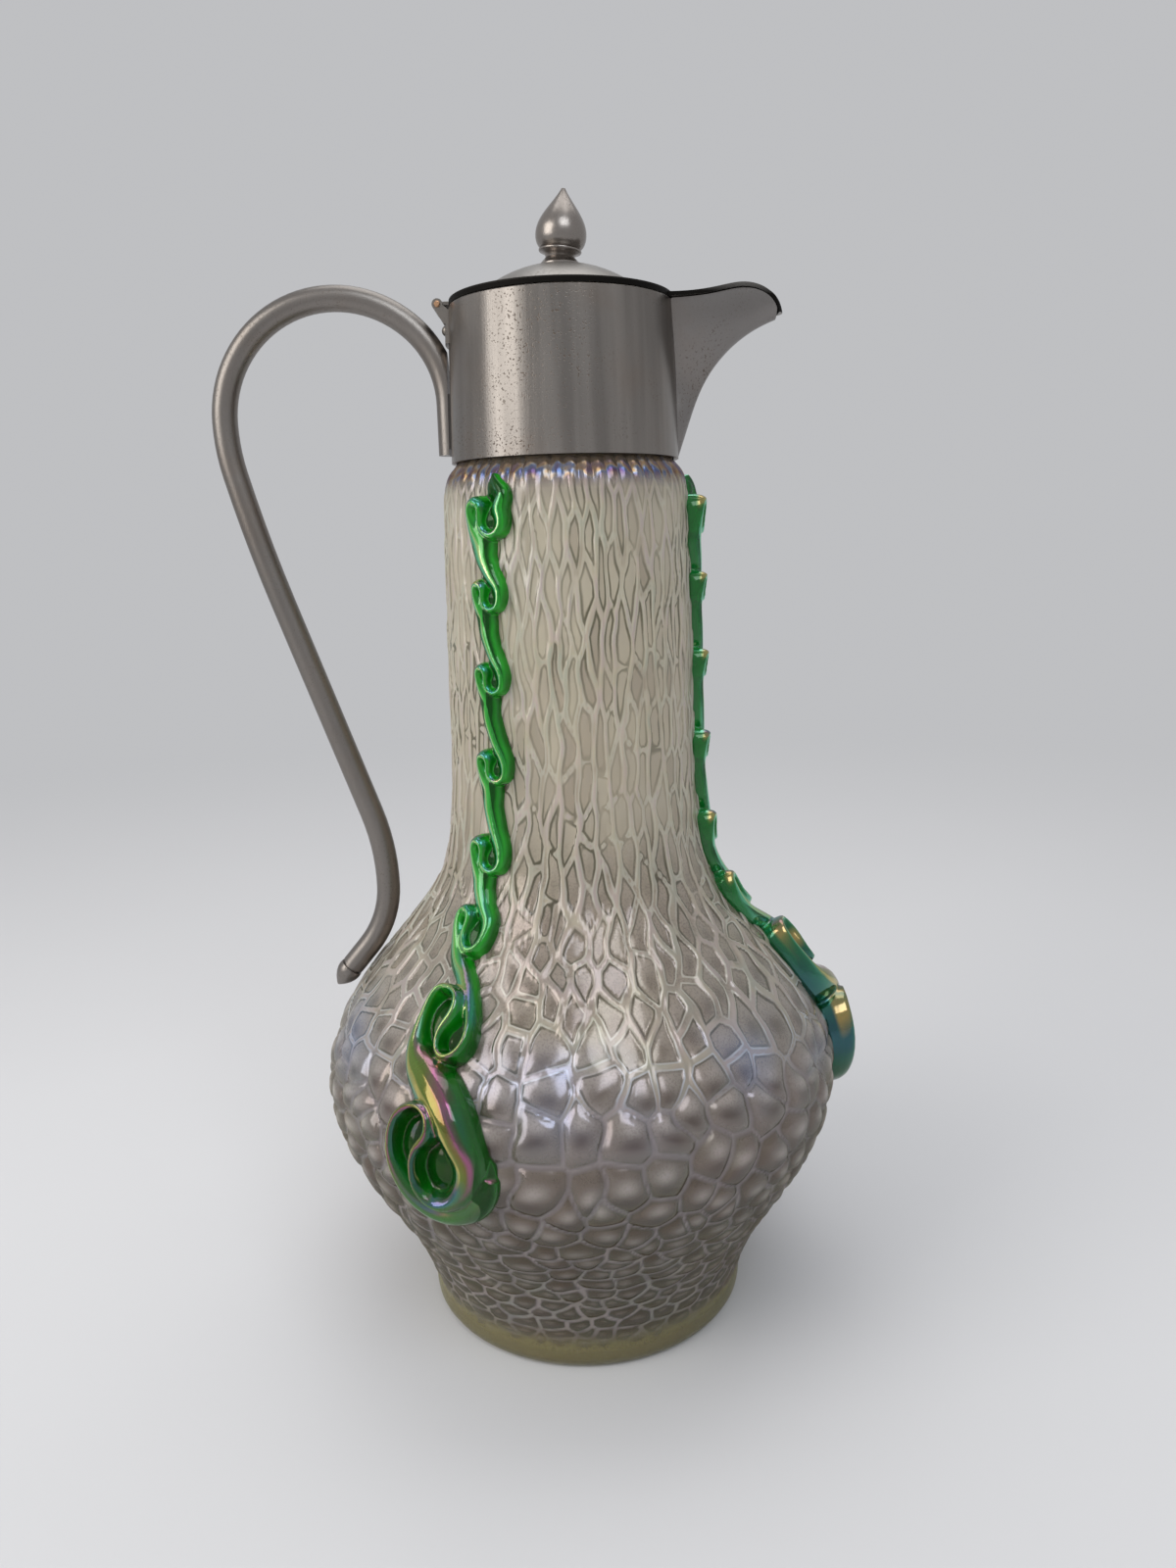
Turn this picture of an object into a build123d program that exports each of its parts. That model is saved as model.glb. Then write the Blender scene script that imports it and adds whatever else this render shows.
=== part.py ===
from build123d import *
from math import atan2, cos, degrees, radians, sin
import os

# Claret jug: a moulded glass vessel with applied green trails, a metal collar with a
# spout and a hinged lid, and a rod handle. Millimetres, +Z up. The origin is the centre
# of the flat base. The spout points along +X and the handle lies on the -X side.

# Glass vessel
base_rest_radius = 41.0
base_edge_radius = 44.9
base_edge_height = 4.0
foot_wall_height = 4.0
lower_flare_radius = 51.0
lower_flare_height = 24.0
belly_radius = 71.5
belly_height = 71.5
shoulder_radius = 45.5
shoulder_above_belly = 42.5
neck_foot_radius = 34.4
neck_foot_above_shoulder = 25.0
neck_top_radius = 31.7
neck_length = 85.0
neck_rounding_height = 14.5
neck_rounding_depth = 5.3
glass_rim_below_collar_top = 16.2
# Where the wall runs between two of the places above: a share of the height, then of
# the radius.
base_edge_curve = (0.3, 0.7)
lower_belly_curve = (0.42, 0.576)
upper_belly_curve = (0.435, 0.242)
shoulder_curve = (0.718, 0.604)
neck_foot_curve = (0.48, 0.71)
neck_curve = (0.41, 0.63)
neck_rounding_curve = (0.52, 0.30)
glass_wall = 2.8
glass_floor = 7.0
mouth_wall = 3.5

# Applied glass trails
trail_azimuth = -33.5
trail_count = 3
trail_strand_rise = 3.4
trail_curl_rise = 4.8
trail_end_rise = 8.6
trail_strand_radius = 2.3
trail_arch_radius = 2.8
trail_turn_radius = 3.2
trail_eye_radius = 1.15
trail_end_radius = 12.6
trail_end_eye_radius = 3.2
trail_floor = 1.4
# Each curl is an offset round the vessel, a share of the height, and a size. The share is
# of the neck's length from its foot, or of the height from the belly to the neck's foot.
neck_curls = [(0.2, 0.951, 1.25), (-0.1, 0.735, 1.0), (0.0, 0.499, 1.0), (-0.1, 0.241, 1.07)]
shoulder_curls = [(-1.5, 0.967, 1.22), (-2.1, 0.692, 1.35), (1.0, 0.407, 1.65)]
# Places in a curl of size 1, and on the wide scroll below the curls
arch_offset = (-2.2, 1.0)
turn_offset = (1.8, -0.6)
trail_flame_tip_offset = 0.4
trail_flame_above_neck = 6.0
trail_flame_tip_radius = 0.9
trail_end_offset = 4.6
trail_end_below_belly = 1.0
trail_end_eyes = [(-6.4, 4.0), (0.9, -2.3)]
trail_shoulder_offset = 5.5
trail_shoulder_above_belly = 12.5
trail_shoulder_radius = 7.2
trail_tail_offset = 21.0
trail_tail_below_belly = 7.0
trail_tail_radius = 3.5

# Collar
collar_above_neck = 10.5
collar_height = 37.7
collar_neck_gap = 0.49
collar_taper = 0.8
collar_wall = 1.1
collar_edge_break = 0.25
cement_above_rounding = 0.5
neck_ring_thickness = 1.2

# Spout
spout_wall = 1.0
keel_foot_step = 0.1
keel_arc_radius = 33.0
keel_steep_angle = 71.0
keel_flat_angle = 19.0
keel_tip_below_collar_top = 4.3
spout_length = 25.7
spout_trim_length = 4.0
# Half width and depth of the section at the keel's foot, at the start of its arc, at each
# quarter of the arc, and past the lip.
spout_sections = [(1.8, 5.0), (4.2, 9.0), (6.0, 15.0), (9.0, 18.5), (7.4, 13.5), (4.6, 8.0), (3.8, 6.5)]
# The rim: shares of the spout's length and of the crest's rise
spout_rim_shape = [(0.39, 0.45), (0.72, 1.0), (0.9, 0.4)]
spout_rim_lap = 4.0
spout_rim_flat = 1.5
spout_crest_rise = 2.4
spout_lip_drop = 2.0
pour_opening_top_width = 15.0
pour_opening_floor_width = 6.8
pour_opening_depth = 10.7

# Lid
seat_gap = 0.25
lid_inset = 0.3
lid_thickness = 1.4
lid_flat_width = 6.0
dome_height = 8.4
dome_seat_radius = 5.4
tongue_thickness = 1.0
tongue_overhang = 0.5
tongue_past_lip = 1.5
tongue_lap = 5.0
tongue_root_half_width = 9.6
tongue_middle_half_width = 7.9
tongue_middle_share = 0.45
tongue_nose_radius = 3.4
fastening_thread_radius = 1.5
washer_radius = 4.6
washer_thickness = 0.8
nut_width = 5.5
nut_height = 2.4

# Finial
finial_height = 18.1
finial_bud_radius = 6.4
finial_lip_radius = 5.3
finial_waist_radius = 3.5
finial_foot_radius = 5.1
finial_foot_height = 1.7
finial_foot_edge = 0.5
finial_lean = 5.0

# Hinge
pin_radius = 0.75
pin_length = 13.0
knuckle_radius = 1.35
hinge_width = 12.0
middle_knuckle_width = 5.0
knuckle_side_gap = 0.15
pin_running_gap = 0.05
pin_offset = 2.1
pin_above_collar = 0.4
leaf_thickness = 0.8
collar_leaf_below_top = 2.2
collar_leaf_height = 6.6
rivet_shank_radius = 0.6
rivet_head_radius = 1.25
rivet_head_height = 0.8
rivet_spacing = 6.8

# Handle
rod_radius = 3.2
rod_axis_offset = 0.2
handle_foot_above_collar = 2.3
handle_solder_gap = 0.6
solder_width = 2.4
solder_above_foot = 1.7
solder_length = 13.5
tip_groove_width = 0.8
tip_groove_depth = 0.5
tip_length = 6.6
tip_spigot_length = 3.0
handle_bend_below_collar_top = 22.9
# Each bend is a radius and a turn, from the collar up, over and down to the glass.
# A negative turn bends the other way.
handle_bends = [(25.5, 50.6), (29.7, 128.8), (51.5, 14.6), (400.0, 4.9)]
handle_lower_bends = [(62.0, -19.9), (27.7, -39.0)]
handle_end_length = 7.5
handle_glass_gap = 0.8

os.makedirs("parts", exist_ok=True)


def collar_radius_at(z):
    share = (z - collar_bottom_height) / (collar_top_height - collar_bottom_height)
    return collar_bottom_radius + share * (collar_top_radius - collar_bottom_radius)


def revolved(*edges):
    """A full turn about Z of the closed outline that the edges bound."""
    return revolve(make_face(Wire(edges)), Axis.Z)


def closed_outline(points):
    """The same, for an outline of straight lines given as (radius, height)."""
    return revolve(make_face(Polyline(*[(x, 0, z) for x, z in points], close=True)), Axis.Z)


def vertical(points):
    return [(x, 0, z) for x, z in points]


def tapered(bottom_radius, top_radius, bottom, top):
    """A round bar about Z that changes evenly from one radius to another."""
    return closed_outline([(0, bottom), (bottom_radius, bottom), (top_radius, top), (0, top)])


# Glass vessel: an outer profile, the same profile set in by the wall, and a thick floor

def between(lower, upper, shares):
    """A station between two others, at a share of the height and a share of the radius."""
    height_share, radius_share = shares
    radius = lower[0] + radius_share * (upper[0] - lower[0])
    return (radius, lower[1] + height_share * (upper[1] - lower[1]))


shoulder_height = belly_height + shoulder_above_belly
neck_foot_height = shoulder_height + neck_foot_above_shoulder
neck_top_height = neck_foot_height + neck_length
neck_rounding_top = neck_top_height + neck_rounding_height
collar_bottom_height = neck_top_height + collar_above_neck
collar_top_height = collar_bottom_height + collar_height
glass_rim_height = collar_top_height - glass_rim_below_collar_top
glass_rim_radius = neck_top_radius - neck_rounding_depth
mouth_radius = glass_rim_radius - mouth_wall

lower_flare = (lower_flare_radius, lower_flare_height)
belly = (belly_radius, belly_height)
shoulder = (shoulder_radius, shoulder_height)
neck_foot = (neck_foot_radius, neck_foot_height)
neck_top = (neck_top_radius, neck_top_height)
glass_stations = [
    lower_flare,
    between(lower_flare, belly, lower_belly_curve),
    belly,
    between(belly, shoulder, upper_belly_curve),
    between(belly, shoulder, shoulder_curve),
    shoulder,
    between(shoulder, neck_foot, neck_foot_curve),
    neck_foot,
    between(neck_foot, neck_top, neck_curve),
    neck_top,
]
neck_rim = (glass_rim_radius, neck_rounding_top)
neck_rounding = between(neck_top, neck_rim, neck_rounding_curve)


def wall_line(grow, wall_foot):
    """The vessel's wall from its foot to the top of the neck, grown by an amount."""
    return Spline(*vertical([wall_foot] + [(radius + grow, height) for radius, height in glass_stations]))


def rounding_line(grow, rim_radius, wall):
    """The rounding that leads from the top of the neck to the upright rim."""
    middle = (neck_rounding[0] + grow, neck_rounding[1])
    end = (rim_radius, neck_rounding_top)
    return Spline(wall @ 1, *vertical([middle, end]), tangents=[wall % 1, (0, 0, 1)])


outer_wall = wall_line(0, (base_edge_radius, base_edge_height + foot_wall_height))
outer_rounding = rounding_line(0, glass_rim_radius, outer_wall)


def glass_radius_at(height):
    line = outer_rounding if height > neck_top_height else outer_wall
    low, high = 0, 1
    for _ in range(20):
        middle = (low + high) / 2
        if (line @ middle).Z < height:
            low = middle
        else:
            high = middle
    return (line @ low).X


def vessel(grow, bottom, rim_radius, top):
    """The vessel's outer solid, grown by an amount, from a bottom height to a top height."""
    rest = base_rest_radius + grow
    edge = base_edge_radius + grow
    edge_height = bottom + base_edge_height
    foot_round = between((rest, bottom), (edge, edge_height), base_edge_curve)
    wall_foot = (edge, edge_height + foot_wall_height)
    wall = wall_line(grow, wall_foot)
    return revolved(
        Line((0, 0, bottom), (rest, 0, bottom)),
        ThreePointArc((rest, 0, bottom), (foot_round[0], 0, foot_round[1]), (edge, 0, edge_height)),
        Line((edge, 0, edge_height), (edge, 0, wall_foot[1])),
        wall,
        rounding_line(grow, rim_radius, wall),
        Line((rim_radius, 0, neck_rounding_top), (rim_radius, 0, top)),
        Line((rim_radius, 0, top), (0, 0, top)),
        Line((0, 0, top), (0, 0, bottom)),
    )


glass_outer = vessel(0, 0, glass_rim_radius, glass_rim_height)
glass_inner = vessel(-glass_wall, glass_floor, mouth_radius, glass_rim_height + 1)
# The solid starts and ends its turn half way between two trails.
glass_body = (glass_outer - glass_inner).rotate(Axis.Z, trail_azimuth + 90)


# Applied trails: a strand turns back on itself at every curl. A curl is a turn on the
# right and an arch on the left, each round its own eye. Places are (offset round the
# vessel, height), and the curls grow towards the belly.

curls = [((offset, neck_foot_height + share * neck_length), size) for offset, share, size in neck_curls]
belly_to_neck = neck_foot_height - belly_height
curls += [((offset, belly_height + share * belly_to_neck), size) for offset, share, size in shoulder_curls]
trail_flame_tip = (trail_flame_tip_offset, neck_top_height + trail_flame_above_neck)
trail_end_centre = (trail_end_offset, belly_height - trail_end_below_belly)
trail_shoulder_place = (trail_shoulder_offset, belly_height + trail_shoulder_above_belly)
trail_tail_tip = (trail_tail_offset, belly_height - trail_tail_below_belly)
trail_angle = radians(trail_azimuth)


def on_glass(place, lift):
    """The point of the first trail at a place, lifted off the glass."""
    across = place[0]
    out = ((glass_radius_at(place[1]) + lift) ** 2 - across**2) ** 0.5
    x = across * cos(trail_angle) + out * sin(trail_angle)
    y = across * sin(trail_angle) - out * cos(trail_angle)
    return Vector(x, y, place[1])


def bead(place, radius, rise):
    """A ball sunk into the glass, so that the cap outside has a radius and a rise."""
    sink = (radius**2 - rise**2) / (2 * rise)
    return Pos(on_glass(place, -sink)) * Sphere(rise + sink)


def bar(start, start_radius, end, end_radius, lift):
    """A round, tapered bar between two places."""
    foot = on_glass(start, lift)
    axis = on_glass(end, lift) - foot
    return Plane(origin=foot, z_dir=axis) * tapered(start_radius, end_radius, 0, axis.length)


def placed(curl, offset):
    """A place given for a curl of size 1, moved to one of the curls."""
    centre, size = curl
    return (centre[0] + offset[0] * size, centre[1] + offset[1] * size)


def trail_strands():
    lift = trail_strand_rise - trail_strand_radius
    first_turn = placed(curls[0], turn_offset)
    strands = [bar(first_turn, trail_strand_radius, trail_flame_tip, trail_flame_tip_radius, lift)]
    for upper, lower in zip(curls, curls[1:]):
        start = placed(upper, (arch_offset[0] + trail_strand_radius / 2, 0))
        end = placed(lower, (turn_offset[0] + trail_turn_radius - trail_strand_radius, 0))
        strands.append(bar(start, trail_strand_radius, end, trail_strand_radius * lower[1], lift))
    return strands


def trail_curls():
    shapes = []
    for curl in curls:
        size = curl[1]
        rise = trail_curl_rise * size**0.5
        shapes.append(bead(placed(curl, arch_offset), trail_arch_radius * size, rise))
        shapes.append(bead(placed(curl, turn_offset), trail_turn_radius * size, rise))
    return shapes


def trail_end():
    """The wide scroll at the bottom of a trail, from the last curl to the tail."""
    root = placed(curls[-1], (0, 0))
    root_radius = trail_arch_radius * curls[-1][1]
    lift = trail_end_rise - trail_shoulder_radius
    return [
        bead(trail_end_centre, trail_end_radius, trail_end_rise),
        bar(root, root_radius, trail_shoulder_place, trail_shoulder_radius, lift),
        bar(trail_shoulder_place, trail_shoulder_radius, trail_end_centre, trail_end_rise, 0),
        bar(trail_end_centre, trail_end_rise, trail_tail_tip, trail_tail_radius, 0),
    ]


def eye_shaft(place, radius):
    """A shaft square to the glass, down to a thin floor of glass inside a curl."""
    foot = on_glass(place, 0)
    up_the_wall = on_glass((place[0], place[1] + radius), 0) - foot
    outward = Vector(-foot.Y, foot.X, 0).cross(up_the_wall).normalized()
    length = 2 * trail_end_rise
    floor = Plane(origin=foot + outward * trail_floor, z_dir=outward)
    return floor * Pos(0, 0, length / 2) * Cylinder(radius, length)


def trail_eyes():
    shafts = []
    for curl in curls:
        for offset in (arch_offset, turn_offset):
            shafts.append(eye_shaft(placed(curl, offset), trail_eye_radius * curl[1]))
    for x, z in trail_end_eyes:
        place = (trail_end_centre[0] + x, trail_end_centre[1] + z)
        shafts.append(eye_shaft(place, trail_end_eye_radius))
    return shafts


trail_pieces = [piece - glass_outer for piece in trail_strands() + trail_curls() + trail_end()]
front_left_trail = Part() + trail_pieces - trail_eyes()
trails = [front_left_trail.rotate(Axis.Z, 360 / trail_count * turn) for turn in range(trail_count)]


# Collar, with the plaster that bonds it to the neck and the ring above them

collar_bottom_radius = glass_radius_at(collar_bottom_height) + collar_neck_gap + collar_wall
collar_top_radius = collar_bottom_radius - collar_taper
collar_middle_height = collar_bottom_height + collar_height / 2
spout_reach = collar_top_radius + spout_length
lid_radius = collar_top_radius - lid_inset
collar_outer = tapered(collar_bottom_radius, collar_top_radius, collar_bottom_height, collar_top_height)
collar_bore = tapered(
    collar_bottom_radius - collar_wall,
    collar_top_radius - collar_wall,
    collar_bottom_height,
    collar_top_height,
)
collar = collar_outer - collar_bore
collar = chamfer(collar.edges().group_by(Axis.Z)[-1], collar_edge_break)

# The pour opening is a flat-bottomed V, inside the place where the spout meets the collar.
opening_outline = Polyline(
    (0, -pour_opening_top_width / 2, collar_top_height + collar_wall),
    (0, pour_opening_top_width / 2, collar_top_height + collar_wall),
    (0, pour_opening_floor_width / 2, collar_top_height - pour_opening_depth),
    (0, -pour_opening_floor_width / 2, collar_top_height - pour_opening_depth),
    close=True,
)
pour_opening = extrude(make_face(opening_outline), 2 * collar_bottom_radius, dir=(1, 0, 0))
collar -= pour_opening

ring_top = glass_rim_height + neck_ring_thickness
cement_bottom_height = neck_rounding_top + cement_above_rounding
cement_ring = closed_outline([
    (glass_rim_radius, cement_bottom_height),
    (collar_radius_at(cement_bottom_height) - collar_wall, cement_bottom_height),
    (collar_radius_at(glass_rim_height) - collar_wall, glass_rim_height),
    (glass_rim_radius, glass_rim_height),
])
neck_ring = closed_outline([
    (mouth_radius, glass_rim_height),
    (collar_radius_at(glass_rim_height) - collar_wall, glass_rim_height),
    (collar_radius_at(ring_top) - collar_wall, ring_top),
    (mouth_radius, ring_top),
])


# Spout: half-elliptical sections square to the keel, which is a line, an arc and a line

keel_foot = (collar_bottom_radius - keel_foot_step, collar_bottom_height + keel_foot_step)
steep = radians(keel_steep_angle)
flat = radians(keel_flat_angle)
keel_arc_rise = keel_arc_radius * (cos(flat) - cos(steep))
keel_rise = collar_top_height - keel_tip_below_collar_top - keel_foot[1]
keel_straight_length = (keel_rise - keel_arc_rise) / sin(steep)
keel_arc_start = (
    keel_foot[0] + keel_straight_length * cos(steep),
    keel_foot[1] + keel_straight_length * sin(steep),
)
keel_centre = (
    keel_arc_start[0] + keel_arc_radius * sin(steep),
    keel_arc_start[1] - keel_arc_radius * cos(steep),
)


def keel_point(angle):
    a = radians(angle)
    return (keel_centre[0] - keel_arc_radius * sin(a), keel_centre[1] + keel_arc_radius * cos(a))


def spout_section(point, angle, half_width, depth, inset):
    """A half ellipse with its lowest point on the keel, moved in by an inset."""
    a = radians(angle)
    up = Vector(-sin(a), 0, cos(a))
    centre = Vector(point[0], 0, point[1]) + up * depth
    plane = Plane(origin=centre, x_dir=(0, 1, 0), z_dir=Vector(0, 1, 0).cross(-up))
    w = half_width - inset
    d = depth - inset
    arc = EllipticalCenterArc((0, 0), w, d, start_angle=0, arc_size=180)
    return plane * make_face(arc + Line((-w, 0), (w, 0)))


def spout_shape(inset):
    tip = keel_point(keel_flat_angle)
    beyond = (tip[0] + spout_trim_length * cos(flat), tip[1] + spout_trim_length * sin(flat))
    span = keel_steep_angle - keel_flat_angle
    angles = [keel_steep_angle - quarter / 4 * span for quarter in range(5)]
    points = [keel_foot] + [keel_point(angle) for angle in angles] + [beyond]
    angles = [keel_steep_angle] + angles + [keel_flat_angle]
    sections = []
    for point, angle, (half_width, depth) in zip(points, angles, spout_sections):
        sections.append(spout_section(point, angle, half_width, depth, inset))
    return loft(sections)


rim_points = [
    (collar_top_radius - spout_rim_lap, collar_top_height),
    (collar_top_radius + spout_rim_flat, collar_top_height),
]
for length_share, rise_share in spout_rim_shape:
    rim_x = collar_top_radius + length_share * spout_length
    rim_points.append((rim_x, collar_top_height + rise_share * spout_crest_rise))
rim_points.append((spout_reach, collar_top_height - spout_lip_drop))
rim_curve = Spline(*vertical(rim_points))


def above_rim(curve, height):
    """What lies above the spout's rim curve, as a block as wide as the lid."""
    first = curve @ 0
    last = curve @ 1
    beyond = last + (curve % 1) * spout_trim_length
    outline = [
        curve,
        Line(last, beyond),
        Line(beyond, (beyond.X, 0, height)),
        Line((beyond.X, 0, height), (first.X, 0, height)),
        Line((first.X, 0, height), first),
    ]
    return extrude(make_face(Wire(outline)), lid_radius, both=True)


past_lip = Pos(spout_reach + spout_length / 2, 0, collar_middle_height) * Box(
    spout_length, 2 * collar_bottom_radius, 2 * collar_height
)
above_collar = collar_top_height + collar_height
spout = spout_shape(0) - spout_shape(spout_wall)
spout -= collar_outer
spout -= tapered(collar_top_radius, collar_top_radius, collar_top_height, above_collar)
spout -= above_rim(rim_curve, above_collar)
spout -= past_lip


# Lid: flat rim, dome and tongue

lid_bottom = collar_top_height + seat_gap
lid_top = lid_bottom + lid_thickness
apex = lid_top + dome_height
dome_base_radius = lid_radius - lid_flat_width
dome_radius = (dome_base_radius**2 + dome_height**2) / (2 * dome_height)
dome_centre = apex - dome_radius


def dome_cap(radius, floor, flat_top):
    """The part of a ball about the dome's centre between a floor and a flat top."""
    ball = Pos(0, 0, dome_centre) * Sphere(radius)
    slab = Pos(0, 0, (floor + flat_top) / 2) * Cylinder(radius, flat_top - floor)
    return ball & slab


seat_height = dome_centre + (dome_radius**2 - dome_seat_radius**2) ** 0.5
hollow_top = seat_height - lid_thickness
lid_plate = Pos(0, 0, (lid_bottom + lid_top) / 2) * Cylinder(lid_radius, lid_thickness)
lid_dome = dome_cap(dome_radius, lid_bottom + lid_thickness / 2, seat_height)
lid_hollow = dome_cap(dome_radius - lid_thickness, lid_bottom - lid_thickness, hollow_top)


def moved_off(curve, distance, count=7):
    """A spline at a distance on the upper side of a curve."""
    points = []
    for step in range(count):
        share = step / (count - 1)
        along = curve % share
        normal = Vector(-along.Z, 0, along.X)
        points.append(curve @ share + normal * distance)
    return Spline(*points)


def lid_tongue():
    under = moved_off(rim_curve, seat_gap)
    over = moved_off(rim_curve, seat_gap + tongue_thickness)
    end_low = under @ 1
    end_high = over @ 1
    along = rim_curve % 1
    tip_low = end_low + along * tongue_past_lip * 0.7
    tip_high = end_high + along * tongue_past_lip
    outline = [
        under,
        Line(end_low, tip_low),
        Line(tip_low, tip_high),
        Line(tip_high, end_high),
        over,
        Line(over @ 0, under @ 0),
    ]
    band = extrude(make_face(Wire(outline)), lid_radius, both=True)
    root = tongue_root_half_width + tongue_overhang
    middle = tongue_middle_half_width + tongue_overhang
    nose = tongue_nose_radius + tongue_overhang
    root_x = collar_top_radius - tongue_lap
    middle_x = collar_top_radius + tongue_middle_share * spout_length
    nose_x = tip_high.X - nose
    plan = make_face([
        Line((root_x, -root), (root_x, root)),
        Spline((root_x, root), (middle_x, middle), (nose_x, nose)),
        ThreePointArc((nose_x, nose), (tip_high.X, 0), (nose_x, -nose)),
        Spline((nose_x, -nose), (middle_x, -middle), (root_x, -root)),
    ])
    column = Pos(0, 0, collar_middle_height) * extrude(plan, collar_height, dir=(0, 0, 1))
    return band & column


lid = lid_plate + lid_dome + lid_tongue()
lid -= lid_hollow
stud_hole = Pos(0, 0, seat_height) * Cylinder(fastening_thread_radius, 2 * dome_height)
lid -= stud_hole


# Finial, with a stud through the lid, a washer and a nut under the dome

bud_base = seat_height + finial_foot_height


def finial_bud():
    """The bud and its waist, leaning a little towards the spout."""
    top = seat_height + finial_height
    widest = seat_height + 0.4 * finial_height
    lip = seat_height + 0.2 * finial_height
    side = Spline(
        (0.5, 0, top),
        (0.55 * finial_bud_radius, 0, top - 0.24 * finial_height),
        (finial_bud_radius, 0, widest),
        (0.9 * finial_bud_radius, 0, lip + 1.2),
        (finial_lip_radius - 0.3, 0, lip + 0.4),
    )
    lip_round = ThreePointArc(
        (finial_lip_radius - 0.3, 0, lip + 0.4),
        (finial_lip_radius + 0.1, 0, lip),
        (finial_lip_radius - 0.3, 0, lip - 0.4),
    )
    waist = Spline(
        (finial_lip_radius - 0.3, 0, lip - 0.4),
        (finial_waist_radius + 0.3, 0, lip - 1.1),
        (finial_waist_radius, 0, bud_base),
    )
    root = bud_base - finial_foot_edge
    bud = revolved(
        Line((0, 0, top), (0.5, 0, top)),
        side,
        lip_round,
        waist,
        Line((finial_waist_radius, 0, bud_base), (finial_waist_radius, 0, root)),
        Line((finial_waist_radius, 0, root), (0, 0, root)),
        Line((0, 0, root), (0, 0, top)),
    )
    bud = Pos(0, 0, -bud_base) * bud
    return Pos(0, 0, bud_base) * bud.rotate(Axis.Y, finial_lean)


stud_bottom = hollow_top - washer_thickness - nut_height - 0.6
finial_foot = closed_outline([
    (0, seat_height),
    (finial_foot_radius, seat_height),
    (finial_foot_radius, seat_height + finial_foot_edge),
    (finial_waist_radius, bud_base + finial_foot_edge),
    (0, bud_base + finial_foot_edge),
])
stud_length = seat_height - stud_bottom
finial_stud = Pos(0, 0, stud_bottom + stud_length / 2) * Cylinder(fastening_thread_radius, stud_length)
finial = finial_bud() + finial_foot + finial_stud

washer_bottom = hollow_top - washer_thickness
finial_washer = closed_outline([
    (fastening_thread_radius, washer_bottom),
    (washer_radius, washer_bottom),
    (washer_radius, hollow_top),
    (fastening_thread_radius, hollow_top),
])
nut_blank = extrude(RegularPolygon(nut_width / 2, 6, major_radius=False), nut_height)
finial_nut = Pos(0, 0, washer_bottom - nut_height) * nut_blank
finial_nut -= Pos(0, 0, washer_bottom - nut_height / 2) * Cylinder(fastening_thread_radius, nut_height)


# Hinge: three knuckles on one pin behind the collar's top edge

pin_x = -(collar_top_radius + pin_offset)
pin_z = collar_top_height + pin_above_collar


def along_y(radius, length, x, y, z):
    return Pos(x, y, z) * Rot(90, 0, 0) * Cylinder(radius, length)


hinge_pin = along_y(pin_radius, pin_length, pin_x, 0, pin_z)
hinge_pin = chamfer(hinge_pin.edges(), 0.2)

outer_knuckle = (hinge_width - middle_knuckle_width) / 2 - knuckle_side_gap
outer_knuckle_y = hinge_width / 2 - outer_knuckle / 2
collar_leaf_top = collar_top_height - collar_leaf_below_top
collar_leaf_bottom = collar_leaf_top - collar_leaf_height
leaf_outer = tapered(
    collar_radius_at(collar_leaf_bottom) + leaf_thickness,
    collar_radius_at(collar_leaf_top) + leaf_thickness,
    collar_leaf_bottom,
    collar_leaf_top,
)
leaf_window = Pos(-collar_top_radius, 0, (collar_leaf_bottom + collar_leaf_top) / 2) * Box(
    collar_top_radius, hinge_width, collar_leaf_top - collar_leaf_bottom
)
hinge_leaf_collar = leaf_outer & leaf_window
for side in (-1, 1):
    y = side * outer_knuckle_y
    lug_outline = Polyline(
        (pin_x - knuckle_radius, 0, pin_z),
        (pin_x + knuckle_radius, 0, pin_z - 0.2),
        (-collar_top_radius + 2.0, 0, pin_z - knuckle_radius - 1.2),
        (-collar_top_radius + 2.0, 0, collar_leaf_top - 2.0),
        (-collar_top_radius - leaf_thickness, 0, collar_leaf_top - 2.0),
        close=True,
    )
    lug = Pos(0, y, 0) * extrude(make_face(lug_outline), outer_knuckle / 2, both=True)
    hinge_leaf_collar += lug
    hinge_leaf_collar += along_y(knuckle_radius, outer_knuckle, pin_x, y, pin_z)
hinge_leaf_collar -= collar_outer
hinge_leaf_collar -= along_y(pin_radius, hinge_width + 1, pin_x, 0, pin_z)

leaf_root = lid_radius - middle_knuckle_width / 2
lid_leaf_plate = Pos((pin_x - leaf_root) / 2, 0, lid_top - leaf_thickness / 2) * Box(
    -pin_x - leaf_root, middle_knuckle_width, leaf_thickness
)
lid_cutter = Pos(0, 0, lid_top) * Cylinder(lid_radius, 4 * lid_thickness)
hinge_leaf_lid = lid_leaf_plate - lid_cutter
hinge_leaf_lid += along_y(knuckle_radius, middle_knuckle_width, pin_x, 0, pin_z)
hinge_leaf_lid -= along_y(pin_radius + pin_running_gap, middle_knuckle_width + 1, pin_x, 0, pin_z)


# Rivets through the leaf and the collar wall, pointing at the jug's axis

rivet_height = (collar_leaf_bottom + collar_leaf_top) / 2
leaf_face = collar_radius_at(rivet_height) + leaf_thickness
head_ball_radius = (rivet_head_radius**2 + rivet_head_height**2) / (2 * rivet_head_height)
head_ball_x = -(leaf_face + rivet_head_height - head_ball_radius)
head = Pos(head_ball_x, 0, rivet_height) * Rot(0, -90, 0) * Sphere(head_ball_radius) - leaf_outer
shank_bar = Pos(-leaf_face, 0, rivet_height) * Rot(0, 90, 0) * Cylinder(rivet_shank_radius, 8 * collar_wall)
shank = (shank_bar & leaf_outer) - collar_bore
rivets = []
for side in (-1, 1):
    turn = side * degrees(atan2(rivet_spacing / 2, leaf_face))
    rivets.append((head + shank).rotate(Axis.Z, turn))
    hole = shank_bar.rotate(Axis.Z, turn)
    hinge_leaf_collar -= hole
    collar -= hole
hinge_rivets = Compound(children=rivets)


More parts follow.
